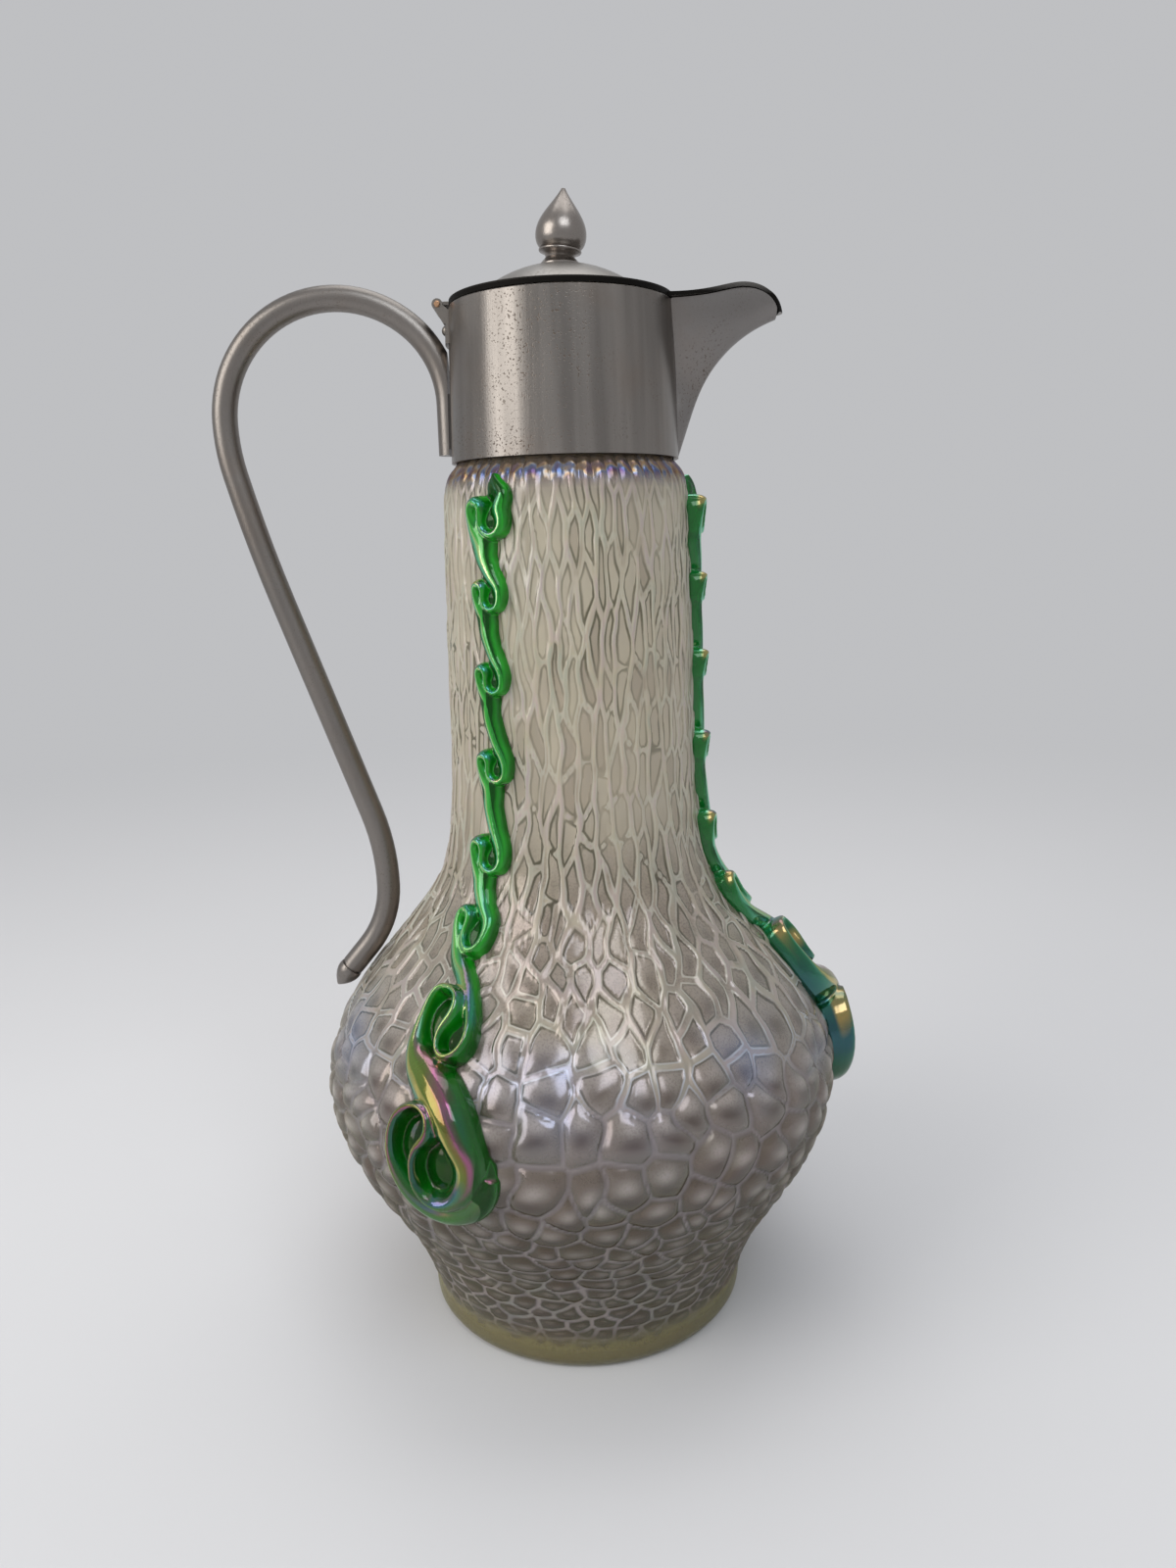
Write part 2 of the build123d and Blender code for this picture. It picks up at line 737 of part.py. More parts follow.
# Handle: a round rod on a path of tangent arcs, ground to fit the collar

handle_foot_height = collar_bottom_height + handle_foot_above_collar


def handle_edges(shank_length):
    """The rod's centre line, drawn flat, for a length of the straight part."""
    rod_x = -(collar_radius_at(handle_foot_height) + rod_axis_offset)
    bend_start = collar_top_height - handle_bend_below_collar_top
    edges = [Line((rod_x, collar_bottom_height), (rod_x, bend_start))]
    for radius, turn in handle_bends:
        edges.append(JernArc(edges[-1] @ 1, edges[-1] % 1, radius, turn))
    edges.append(Line(edges[-1] @ 1, edges[-1] @ 1 + (edges[-1] % 1) * shank_length))
    for radius, turn in handle_lower_bends:
        edges.append(JernArc(edges[-1] @ 1, edges[-1] % 1, radius, turn))
    edges.append(Line(edges[-1] @ 1, edges[-1] @ 1 + (edges[-1] % 1) * handle_end_length))
    return edges


def gap_to_glass(shank_length):
    """The least gap between the glass and the rod's last bend and end."""
    edges = handle_edges(shank_length)
    points = [edge @ (step / 4) for edge in edges[-2:] for step in range(5)]
    return min(outer_wall.distance_to(Vector(-point.X, 0, point.Y)) for point in points) - rod_radius


def fitted_shank_length():
    """The length of the straight part that brings the rod's end to its gap from the glass."""
    short, long = 0, neck_length
    for _ in range(20):
        middle = (short + long) / 2
        if gap_to_glass(middle) > handle_glass_gap:
            short = middle
        else:
            long = middle
    return short


path = Plane.XZ * Wire(handle_edges(fitted_shank_length()))
rod_section = Plane(origin=path @ 0, z_dir=path % 0) * Circle(rod_radius)
rod = sweep(rod_section, path)
solder_face = tapered(
    collar_bottom_radius + handle_solder_gap,
    collar_top_radius + handle_solder_gap,
    collar_bottom_height,
    collar_top_height,
)
foot_block = 6 * rod_radius
below_foot = Pos(-collar_bottom_radius, 0, handle_foot_height - foot_block / 2) * Box(
    foot_block, foot_block, foot_block
)
rod_end = path @ 1
rod_end_direction = path % 1
end_plane = Plane(origin=rod_end, z_dir=rod_end_direction)
handle = rod - solder_face - below_foot
groove_radius = rod_radius - tip_groove_depth
spigot_length = tip_groove_width + tip_spigot_length
spigot = end_plane * Pos(0, 0, spigot_length / 2) * Cylinder(groove_radius, spigot_length)
handle += spigot

tip_profile = [
    Line((0, 0, 0), (rod_radius, 0, 0)),
    Spline(
        (rod_radius, 0, 0),
        (rod_radius + 0.1, 0, 0.25 * tip_length),
        (0.62 * rod_radius, 0, 0.72 * tip_length),
        (0.4, 0, tip_length),
    ),
    Line((0.4, 0, tip_length), (0, 0, tip_length)),
    Line((0, 0, tip_length), (0, 0, 0)),
]
handle_tip = end_plane * Pos(0, 0, tip_groove_width) * revolved(*tip_profile)
handle_tip -= spigot

solder_band = solder_face - collar_outer
solder_middle = handle_foot_height + solder_above_foot + solder_length / 2
solder_window = Pos(-collar_bottom_radius, 0, solder_middle) * Box(
    collar_bottom_radius, solder_width, solder_length
)
handle_solder = solder_band & solder_window


nodes = {
    "glass_body": glass_body,
    "trail_front_left": trails[0],
    "trail_right": trails[1],
    "trail_rear_left": trails[2],
    "collar": collar,
    "cement_ring": cement_ring,
    "neck_ring": neck_ring,
    "spout": spout,
    "lid": lid,
    "finial": finial,
    "finial_washer": finial_washer,
    "finial_nut": finial_nut,
    "hinge_pin": hinge_pin,
    "hinge_leaf_collar": hinge_leaf_collar,
    "hinge_leaf_lid": hinge_leaf_lid,
    "hinge_rivets": hinge_rivets,
    "handle": handle,
    "handle_tip": handle_tip,
    "handle_solder": handle_solder,
}
for name, shape in nodes.items():
    export_step(shape, f"parts/{name}.step")
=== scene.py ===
import math

import bmesh
import bpy
import numpy as np
from mathutils import Matrix, Vector


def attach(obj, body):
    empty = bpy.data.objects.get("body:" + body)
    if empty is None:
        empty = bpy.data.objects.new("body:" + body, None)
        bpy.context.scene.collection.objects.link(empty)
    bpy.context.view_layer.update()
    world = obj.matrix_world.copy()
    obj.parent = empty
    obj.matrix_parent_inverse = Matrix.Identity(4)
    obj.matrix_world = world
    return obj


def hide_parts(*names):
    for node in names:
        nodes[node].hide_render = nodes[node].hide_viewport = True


# Claret jug: iridescent glass with a cellular relief, three green glass trails, and worn
# pewter mounts. Shapes are built in mm in the CAD frame and scaled to metres; materials, lights
# and the camera are in metres.

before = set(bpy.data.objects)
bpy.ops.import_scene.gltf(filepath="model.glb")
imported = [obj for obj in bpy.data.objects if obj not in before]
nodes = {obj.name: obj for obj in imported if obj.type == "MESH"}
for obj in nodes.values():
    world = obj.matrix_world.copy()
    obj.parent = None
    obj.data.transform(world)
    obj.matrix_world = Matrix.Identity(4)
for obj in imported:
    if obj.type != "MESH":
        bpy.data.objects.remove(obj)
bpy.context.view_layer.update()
MM = 0.001
BACKDROP = (0.52, 0.525, 0.54)

# The vessel's wall, the height of its inner floor, and the number of flutes under the collar
WALL = 2.8
INNER_FLOOR = 6.9
FLUTES = 56
# How far the relief may stand out past the smooth wall
RELIEF_LIMIT = 0.3
# Points round a ring of the vessel: above the height FINE_ABOVE, and elsewhere
FINE_TURN, COARSE_TURN = 1040, 520
FINE_ABOVE = 78
# What the vessel stores for its shader at each point, and the spans in mm that the distances
# among them (edge and web) are shares of
VESSEL_FIELDS = ("edge", "tone", "core", "crown", "web", "distinct")
EDGE_SPAN, WEB_SPAN = 5, 4
# Start values of the random numbers
CELL_SEED, SWAY_SEED, RISE_SEED, FADE_SEED, WOBBLE_SEED = 7, 11, 14, 21, 5

# The azimuth of the first trail, how far the trails reach into the wall, and their meshes' steps
TRAIL_AZIMUTH = math.radians(-33.5)
SUNK = 3.0
THREAD_SIDES = 18
THREAD_STEP = 0.5
VOXEL_SIZE = 0.34

# Mesh helpers


def mesh_object(name, points, faces):
    """A smooth-shaded mesh object from points in mm and faces as index tuples."""
    mesh = bpy.data.meshes.new(name)
    mesh.from_pydata((np.asarray(points, float) * MM).tolist(), [], [tuple(f) for f in faces])
    mesh.validate()
    obj = bpy.data.objects.new(name, mesh)
    bpy.context.scene.collection.objects.link(obj)
    mesh.polygons.foreach_set("use_smooth", [True] * len(mesh.polygons))
    return obj


def store_fields(mesh, fields):
    """Stores named values at a mesh's points, for its shader."""
    for name, values in fields.items():
        attribute = mesh.attributes.new(name, "FLOAT", "POINT")
        attribute.data.foreach_set("value", values.astype(np.float32))


def apply_modifiers(obj):
    """Replaces an object's mesh with what its modifiers make of it."""
    graph = bpy.context.evaluated_depsgraph_get()
    made = bpy.data.meshes.new_from_object(obj.evaluated_get(graph))
    obj.modifiers.clear()
    obj.data = made
    made.polygons.foreach_set("use_smooth", [True] * len(made.polygons))


def natural_spline(points):
    """A smooth curve through points, as a function of the length along their chords."""
    p = np.asarray(points, float)
    t = np.concatenate([[0], np.cumsum(np.linalg.norm(np.diff(p, axis=0), axis=1))])
    n = len(p)
    h = np.diff(t)
    a = np.zeros((n, n))
    b = np.zeros((n, p.shape[1]))
    a[0, 0] = a[-1, -1] = 1
    for i in range(1, n - 1):
        a[i, i - 1 : i + 2] = h[i - 1], 2 * (h[i - 1] + h[i]), h[i]
        b[i] = 6 * ((p[i + 1] - p[i]) / h[i] - (p[i] - p[i - 1]) / h[i - 1])
    m = np.linalg.solve(a, b)

    def at(x):
        x = np.clip(np.asarray(x, float), 0, t[-1])
        i = np.clip(np.searchsorted(t, x, side="right") - 1, 0, n - 2)
        d = (x - t[i])[..., None]
        e = (t[i + 1] - x)[..., None]
        hi = h[i][..., None]
        return (
            (m[i] * e**3 + m[i + 1] * d**3) / (6 * hi)
            + (p[i] / hi - m[i] * hi / 6) * e
            + (p[i + 1] / hi - m[i + 1] * hi / 6) * d
        )

    return at, t[-1]


def smoothstep(low, high, x):
    """0 below low, 1 above high and a smooth rise between them."""
    s = np.clip((np.asarray(x, float) - low) / (high - low), 0, 1)
    return s * s * (3 - 2 * s)


def ring_noise(seed, around, along, angle, share):
    """Smooth noise from -1 to 1 that closes on itself round the vessel, at an angle and a share
    of the way up; around and along are its numbers of swings."""
    grid = np.random.default_rng(seed).uniform(-1, 1, (along + 2, around))
    u = (angle / (2 * math.pi)) % 1 * around
    v = np.clip(share, 0, 1) * along
    i, j = np.floor(u).astype(int), np.floor(v).astype(int)
    fu, fv = u - i, v - j
    fu, fv = fu * fu * (3 - 2 * fu), fv * fv * (3 - 2 * fv)
    i0, i1 = i % around, (i + 1) % around
    low = grid[j, i0] * (1 - fu) + grid[j, i1] * fu
    high = grid[j + 1, i0] * (1 - fu) + grid[j + 1, i1] * fu
    return low * (1 - fv) + high * fv


# The vessel

# Radius and height of the smooth side, from the foot to the collar
side_stations = [
    (44.9, 8.0), (51.0, 24.0), (62.8, 44.0), (71.5, 71.5), (65.2, 90.0), (55.8, 102.0),
    (45.5, 114.0), (37.6, 126.0), (34.4, 139.0), (32.7, 173.85), (31.7, 224.0),
    (30.1, 231.5), (27.7, 234.5), (26.4, 238.5),
]
side_curve, side_length = natural_spline(side_stations)
side_table = side_curve(np.linspace(0, side_length, 800))


def outer_radius(z):
    """The smooth side's radius at a height."""
    return np.interp(z, side_table[:, 1], side_table[:, 0])


# Height: width and length of the glass cells there, both along the surface
cell_sizes = np.array([
    (4, 6.0, 4.2), (15, 7.6, 5.0), (30, 8.4, 6.0), (45, 8.8, 7.8), (60, 9.8, 9.6),
    (75, 10.6, 11.0), (85, 10.4, 11.6), (95, 9.0, 13.0), (105, 7.6, 14.5), (120, 5.9, 15.5),
    (135, 4.6, 17.0), (165, 3.9, 18.0), (215, 3.9, 18.0), (240, 3.7, 17.0),
])


def cell_size(height, column):
    """The width (column 1) or length (column 2) of the cells at a height."""
    return np.interp(height, cell_sizes[:, 0], cell_sizes[:, column])


def cell_seeds(lengths, heights, radii):
    """Cell centres in jittered rows, as (angle, length up the side, random tone)."""
    rng = np.random.default_rng(CELL_SEED)
    seeds = []
    s = -4.0
    offset = 0.0
    while s < lengths[-1] + 8:
        z = np.interp(s, lengths, heights)
        width, length = cell_size(z, 1), cell_size(z, 2)
        count = int(round(2 * math.pi * np.interp(z, heights, radii) / width))
        offset += 0.5
        stray = np.interp(z, [84, 100], [0.33, 0.24])
        for k in range(count):
            angle = (k + offset + rng.uniform(-stray, stray)) / count * 2 * math.pi
            seeds.append((angle, s + rng.uniform(-stray, stray) * length, rng.uniform(0, 1)))
        s += length * np.interp(z, [84, 100], [0.86, 0.66])
    return np.array(seeds)


def cell_map(angles, lengths, heights, radii):
    """For each point: how far it lies from its cell's border in mm, the cell's tone, how near it
    is to the cell's lower middle (core), upper middle (crown) and centre (bulge)."""
    seeds = cell_seeds(lengths, heights, radii)
    gap, tone, core, crown, bulge = np.zeros((5, len(lengths), len(angles)))
    columns = np.arange(len(angles))
    for row, (s, z, radius) in enumerate(zip(lengths, heights, radii)):
        width, length = cell_size(z, 1), cell_size(z, 2)
        share = np.full(len(angles), s / lengths[-1])
        sway = ring_noise(SWAY_SEED, 46, 40, angles, share) * 0.2 * width / radius
        rise = ring_noise(RISE_SEED, 11, 9, angles, share) * 0.3 * length
        near = seeds[np.abs(seeds[:, 1] - s) < 1.9 * length]
        turn = angles[:, None] + sway[:, None] - near[None, :, 0]
        turn = (turn + math.pi) % (2 * math.pi) - math.pi
        across = turn * radius / width
        along = (s + rise[:, None] - near[None, :, 1]) / length
        distance = across**2 + along**2
        order = np.argpartition(distance, 2, axis=1)[:, :3]
        ranks = np.argsort(np.take_along_axis(distance, order, 1), axis=1)
        order = np.take_along_axis(order, ranks, 1)
        first = order[:, 0]
        border = np.full(len(angles), 99.0)
        for other in (order[:, 1], order[:, 2]):
            dx = across[columns, other] - across[columns, first]
            dy = along[columns, other] - along[columns, first]
            excess = distance[columns, other] - distance[columns, first]
            border = np.minimum(border, excess / (2 * np.hypot(dx / width, dy / length)))
        gap[row] = border
        tone[row] = near[first, 2]
        inside_x, inside_y = across[columns, first], along[columns, first]
        core[row] = np.exp(-(((inside_y + 0.12) / 0.19) ** 2) - (inside_x / 0.27) ** 2)
        crown[row] = np.exp(-(((inside_y - 0.16) / 0.16) ** 2) - (inside_x / 0.26) ** 2)
        bulge[row] = np.clip(1 - distance[columns, first] / 0.42, 0, 1)
    return gap, tone, core, crown, bulge


def relief_height(gap, tone, bulge, angles, heights, lengths):
    """How far the moulded surface stands out from the smooth wall, in mm; how far each point
    lies inside the pale web between the cells, in mm; and how distinct the web is, from 0 to 1."""
    z = heights[:, None]
    turn, share = np.meshgrid(angles, lengths / lengths[-1])
    distinct = smoothstep(-0.75, 0.1, ring_noise(FADE_SEED, 70, 46, turn, share))
    web_stations = [10, 50, 62, 84, 92, 104, 118, 135, 150]
    half_web = np.interp(z, web_stations, [0.45, 0.35, 0.2, 0.25, 0.7, 0.8, 0.6, 0.45, 0.35])
    half_web = half_web * (0.75 + 0.5 * tone)
    web = 1 - smoothstep(half_web - 0.1, half_web + 0.6, gap)
    ridge_stations = [80, 90, 100, 118, 135, 215, 226, 232]
    web_size = np.interp(z, ridge_stations, [0, 0.6, 0.8, 0.75, 0.55, 0.5, 0.35, 0])
    rounded_edge = 1 - (1 - np.clip(gap / 2.6, 0, 1)) ** 2
    pillow = 0.45 * rounded_edge + 0.55 * bulge
    pillow_stations = [7, 12, 22, 40, 60, 84, 94, 106, 120]
    pillow_size = np.interp(z, pillow_stations, [0.1, 0.5, 0.9, 1.3, 2.2, 2.2, 1.0, 0.45, 0.15])
    flute_size = np.interp(z, [226, 229, 232, 234, 236], [0, 0.4, 0.55, 0.4, 0])
    flute = np.abs(np.sin(angles * FLUTES / 2))[None, :]
    relief = pillow * pillow_size + web * web_size * distinct + flute * flute_size
    relief -= pillow_size + 0.3 * web_size + 0.7 * flute_size
    wobble = ring_noise(WOBBLE_SEED, 60, 50, turn, share)
    return np.minimum(relief + 0.1 * wobble, RELIEF_LIMIT), half_web - gap, distinct


def joined_rings(rings):
    """Points and faces of rings in order; a ring has as many points as the one before it, or
    twice or half as many."""
    points = []
    faces = []
    start = 0
    for index, ring in enumerate(rings):
        points.append(ring)
        here = len(ring)
        if index:
            before = len(rings[index - 1])
            low = start - before
            k = np.arange(min(here, before))
            after = (k + 1) % len(k)
            if here == before:
                faces += np.stack([low + k, low + after, start + after, start + k], 1).tolist()
            elif here > before:
                double = [start + 2 * k, start + 2 * k + 1, start + (2 * k + 2) % here]
                faces += np.stack([low + k, low + after, *reversed(double)], 1).tolist()
            else:
                double = [low + 2 * k, low + 2 * k + 1, low + (2 * k + 2) % before]
                faces += np.stack([*double, start + after, start + k], 1).tolist()
        start += here
    return np.concatenate(points), faces


def build_vessel():
    """The vessel: a plain foot, rim and inside, and a side with the relief."""
    # Radius and height of the plain rings
    foot = [(41.0, 0.0), (42.6, 0.35), (43.9, 1.3), (44.7, 2.6), (44.9, 4.0), (44.9, 5.4), (44.9, 6.8)]
    rim = [
        (26.4, 241.0), (26.4, 248.0), (26.4, 255.4), (25.9, 256.0), (24.6, 256.0), (23.3, 256.0),
        (22.9, 255.4), (22.9, 241.0), (23.1, 238.0), (24.0, 235.4), (26.0, 232.2), (27.9, 228.5),
    ]
    inner_heights = np.concatenate([np.linspace(224, 142, 8), np.linspace(136, 14, 24)])
    inner = [(float(outer_radius(h)) - WALL, float(h)) for h in inner_heights]
    inner += [(41.6, 11.0), (40.4, 8.6), (38.0, 7.0), (28.0, INNER_FLOOR), (14.0, INNER_FLOOR)]

    # Rings of the side at even steps of their own spacing, closer where the cells are small
    dense = side_curve(np.linspace(0, side_length, 4000))
    lengths = np.concatenate([[0], np.cumsum(np.linalg.norm(np.diff(dense, axis=0), axis=1))])
    spacing = np.interp(dense[:, 1], [8, 84, 112, 128, 220, 226], [0.9, 0.85, 0.95, 1.9, 1.9, 1.0])
    steps = np.concatenate([[0], np.cumsum(np.diff(lengths) / spacing[1:])])
    at = np.interp(np.linspace(0, steps[-1], int(steps[-1]) + 1), steps, lengths)
    radii = np.interp(at, lengths, dense[:, 0])
    heights = np.interp(at, lengths, dense[:, 1])
    angles = np.linspace(0, 2 * math.pi, FINE_TURN, endpoint=False)
    gap, tone, core, crown, bulge = cell_map(angles, at, heights, radii)
    relief, web, distinct = relief_height(gap, tone, bulge, angles, heights, at)
    outward_r, outward_z = np.gradient(heights, at), -np.gradient(radii, at)
    side_r = radii[:, None] + relief * outward_r[:, None]
    side_z = heights[:, None] + relief * outward_z[:, None]
    edge = np.clip(gap / EDGE_SPAN, 0, 1)
    web = np.clip(web / WEB_SPAN + 0.5, 0, 1)

    def plain_ring(radius, height):
        """A ring without relief, whose fields say: no border near, a distinct web, nothing else."""
        turn = np.linspace(0, 2 * math.pi, COARSE_TURN, endpoint=False)
        flat = np.zeros(COARSE_TURN)
        places = [radius * np.cos(turn), radius * np.sin(turn), flat + height]
        return np.stack(places + [flat + 1, flat, flat, flat, flat, flat + 1], 1)

    rings = [plain_ring(r, z) for r, z in foot]
    for row, height in enumerate(heights):
        ring = np.stack([
            side_r[row] * np.cos(angles), side_r[row] * np.sin(angles), side_z[row],
            edge[row], tone[row], core[row], crown[row], web[row], distinct[row],
        ], 1)
        rings.append(ring if height > FINE_ABOVE else ring[::2])
    rings += [plain_ring(r, z) for r, z in rim + inner]
    points, faces = joined_rings(rings)
    floor_ring = len(points) - COARSE_TURN
    middles = np.array([[0, 0, 0, 1, 0, 0, 0, 0, 1], [0, 0, INNER_FLOOR, 1, 0, 0, 0, 0, 1]])
    points = np.concatenate([points, middles])
    bottom, floor_middle = len(points) - 2, len(points) - 1
    steps_round = [(i, (i + 1) % COARSE_TURN) for i in range(COARSE_TURN)]
    faces += [(bottom, after, i) for i, after in steps_round]
    faces += [(floor_middle, floor_ring + i, floor_ring + after) for i, after in steps_round]
    obj = mesh_object("vessel", points[:, :3], faces)
    store_fields(obj.data, dict(zip(VESSEL_FIELDS, points[:, 3:].T)))
    return obj


vessel = build_vessel()
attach(vessel, "jug")
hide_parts("glass_body")

# The trails
# A trail is one thread that turns back on itself at each curl. Places are (offset round the
# vessel, height); a point of the thread adds its half width and its rise above the glass.

# Place and size of each curl
curls = [
    ((0.2, 219.8), 1.25), ((-0.1, 201.5), 1.0), ((0.0, 181.4), 1.0), ((-0.1, 159.5), 1.07),
    ((-1.5, 136.8), 1.22), ((-2.1, 118.2), 1.35),
]
# One curl of size 1, from the rod that comes down on its right to the broad strand below it
curl_thread = [
    (2.4, 2.2, 1.8, 3.0), (2.8, 0.0, 1.5, 3.1), (2.4, -2.0, 1.3, 3.3), (0.9, -3.0, 1.05, 3.6),
    (-0.5, -2.2, 0.95, 3.8), (-1.1, -0.6, 1.0, 4.0), (-0.9, 1.2, 1.1, 4.3), (-1.2, 2.7, 1.3, 4.5),
    (-2.2, 3.3, 1.35, 4.5), (-3.2, 2.5, 1.4, 4.2), (-3.5, 0.5, 1.6, 3.7), (-3.0, -2.0, 2.2, 3.2),
    (-2.0, -4.4, 2.9, 2.8),
]
# The thread's pointed start above the first curl
flame = [(0.4, 230.2, 0.7, 1.2), (2.3, 227.8, 1.5, 2.2), (4.0, 225.2, 1.9, 2.9)]
# The thread from the last of those curls: a larger curl, a broad body that comes down on the
# right, turns up between two eyes, arches over the left one and sweeps under both to the tail
scroll = [
    (-5.6, 115.4, 2.5, 3.4), (-3.5, 112.4, 3.0, 3.2), (-0.5, 109.8, 2.9, 3.5), (2.8, 106.7, 2.6, 4.1),
    (6.1, 103.0, 2.0, 4.8), (8.2, 99.3, 1.7, 5.3), (8.2, 96.2, 1.6, 5.5), (6.3, 94.2, 1.5, 5.7),
    (3.8, 94.2, 1.4, 5.9), (2.2, 96.0, 1.4, 6.1), (2.3, 98.7, 1.8, 6.5), (3.6, 101.6, 2.2, 6.9),
    (2.9, 104.6, 1.8, 6.9), (0.0, 106.0, 1.5, 6.7), (-3.2, 105.3, 1.5, 6.3), (-4.6, 102.4, 1.6, 5.7),
    (-4.9, 98.8, 2.0, 5.4), (-4.4, 95.2, 3.0, 5.4), (-1.8, 91.9, 4.7, 5.9), (2.4, 89.2, 5.8, 6.7),
    (6.8, 86.4, 5.8, 7.4), (10.8, 82.6, 5.4, 7.6), (14.0, 78.2, 4.8, 6.4), (15.8, 73.8, 4.5, 4.8),
    (15.2, 69.4, 4.0, 4.9), (12.6, 66.2, 3.2, 5.8), (9.0, 65.2, 2.4, 6.4), (5.6, 66.6, 1.7, 6.7),
    (3.8, 69.6, 1.4, 7.0), (3.5, 73.4, 1.4, 7.4), (4.8, 77.2, 1.8, 7.8), (6.9, 80.0, 2.1, 8.0),
    (6.4, 83.0, 1.8, 8.1), (3.4, 84.6, 1.5, 8.0), (0.2, 83.8, 1.7, 7.8), (-2.4, 81.2, 1.8, 7.3),
    (-3.5, 77.0, 2.0, 6.8), (-3.2, 72.8, 2.3, 6.3), (-1.4, 68.6, 2.9, 5.9), (1.8, 64.6, 3.5, 5.6),
    (7.0, 61.9, 4.0, 5.2), (13.2, 62.8, 4.8, 4.6), (17.4, 66.2, 4.6, 3.8), (19.6, 69.0, 3.4, 3.2),
    (20.4, 71.4, 2.4, 2.4),
]
# Low domes of glass behind the thread's start and in the eyes: place, half width, half height, rise
plates = [
    ((0.9, 227.0), 2.3, 3.6, 1.4), ((3.4, 99.6), 5.2, 5.8, 2.6), ((-1.6, 100.6), 4.2, 5.4, 2.6),
    ((1.0, 76.4), 4.6, 8.2, 3.6), ((9.4, 72.6), 7.0, 9.4, 3.2), ((15.8, 70.0), 6.4, 8.0, 3.2),
]


def trail_thread():
    """The whole thread, from its tip at the top to the tail."""
    thread = list(flame)
    for index, ((across, height), size) in enumerate(curls):
        lift = size**0.4
        is_last = index == len(curls) - 1
        turns = []
        for dx, dz, half_width, rise in curl_thread:
            turns.append((across + dx * size, height + dz * size, half_width * size, rise * lift))
        if index:
            leave, enter = thread[-1], turns[0]
            for share in (0.3, 0.55, 0.8):
                x = leave[0] + (enter[0] - leave[0]) * share**1.7
                middle = [a + (b - a) * share for a, b in zip(leave[1:], enter[1:])]
                thread.append((x, *middle))
        thread += turns[:-2] if is_last else turns
    return thread + scroll


def on_surface(across, height, lift):
    """A place of the first trail as a point in mm, lifted off the glass."""
    slope = outer_radius(height + 0.5) - outer_radius(height - 0.5)
    length = math.hypot(1, slope)
    radius = outer_radius(height) + lift / length
    angle = across / float(outer_radius(height)) + TRAIL_AZIMUTH
    return radius * math.sin(angle), -radius * math.cos(angle), height - lift * slope / length


def thread_tube(points):
    """A closed tube along the points, with its lower half sunk into the glass."""
    least_width, least_rise = 0.5, 0.6
    curve, length = natural_spline(points)
    fine = curve(np.linspace(0, length, int(length / THREAD_STEP)))
    centre = np.array([on_surface(x, z, 0) for x, z, _, _ in fine])
    lifted = np.array([on_surface(x, z, 1) for x, z, _, _ in fine])
    width = np.maximum(fine[:, 2], least_width)[:, None, None]
    rise = np.maximum(fine[:, 3], least_rise)[:, None, None]
    ahead = np.gradient(centre, axis=0)
    up = lifted - centre
    side = np.cross(ahead, up)
    side /= np.linalg.norm(side, axis=1)[:, None]
    turn = np.linspace(0, 2 * math.pi, THREAD_SIDES, endpoint=False)[None, :, None]
    depth = np.where(np.sin(turn) > 0, rise, SUNK)
    over = np.sign(np.cos(turn)) * np.abs(np.cos(turn)) ** 0.95
    rings = centre[:, None] + width * over * side[:, None] + depth * np.sin(turn) * up[:, None]
    faces = []
    for i in range(len(fine) - 1):
        here, there = i * THREAD_SIDES, (i + 1) * THREAD_SIDES
        for j in range(THREAD_SIDES):
            k = (j + 1) % THREAD_SIDES
            faces.append((here + j, here + k, there + k, there + j))
    last = (len(fine) - 1) * THREAD_SIDES
    faces.append(tuple(range(THREAD_SIDES - 1, -1, -1)))
    faces.append(tuple(last + j for j in range(THREAD_SIDES)))
    return rings.reshape(-1, 3), faces


def pad(centre, half_width, half_height, rise):
    """A low oval dome of glass on the vessel round a place."""
    rings, count = 6, 28
    top = []
    under = []
    for ring in range(rings + 1):
        share = ring / rings
        for step in range(count):
            angle = 2 * math.pi * step / count
            x = centre[0] + share * half_width * math.cos(angle)
            z = centre[1] + share * half_height * math.sin(angle)
            top.append(on_surface(x, z, rise * (1 - share**2)))
            under.append(on_surface(x, z, -SUNK))
    base = len(top)
    faces = []
    for ring in range(rings):
        for j in range(count):
            k = (j + 1) % count
            a, b = ring * count, (ring + 1) * count
            faces.append((a + j, b + j, b + k, a + k))
            faces.append((base + a + j, base + a + k, base + b + k, base + b + j))
    last = rings * count
    for j in range(count):
        k = (j + 1) % count
        faces.append((last + j, base + last + j, base + last + k, last + k))
    return np.array(top + under), faces


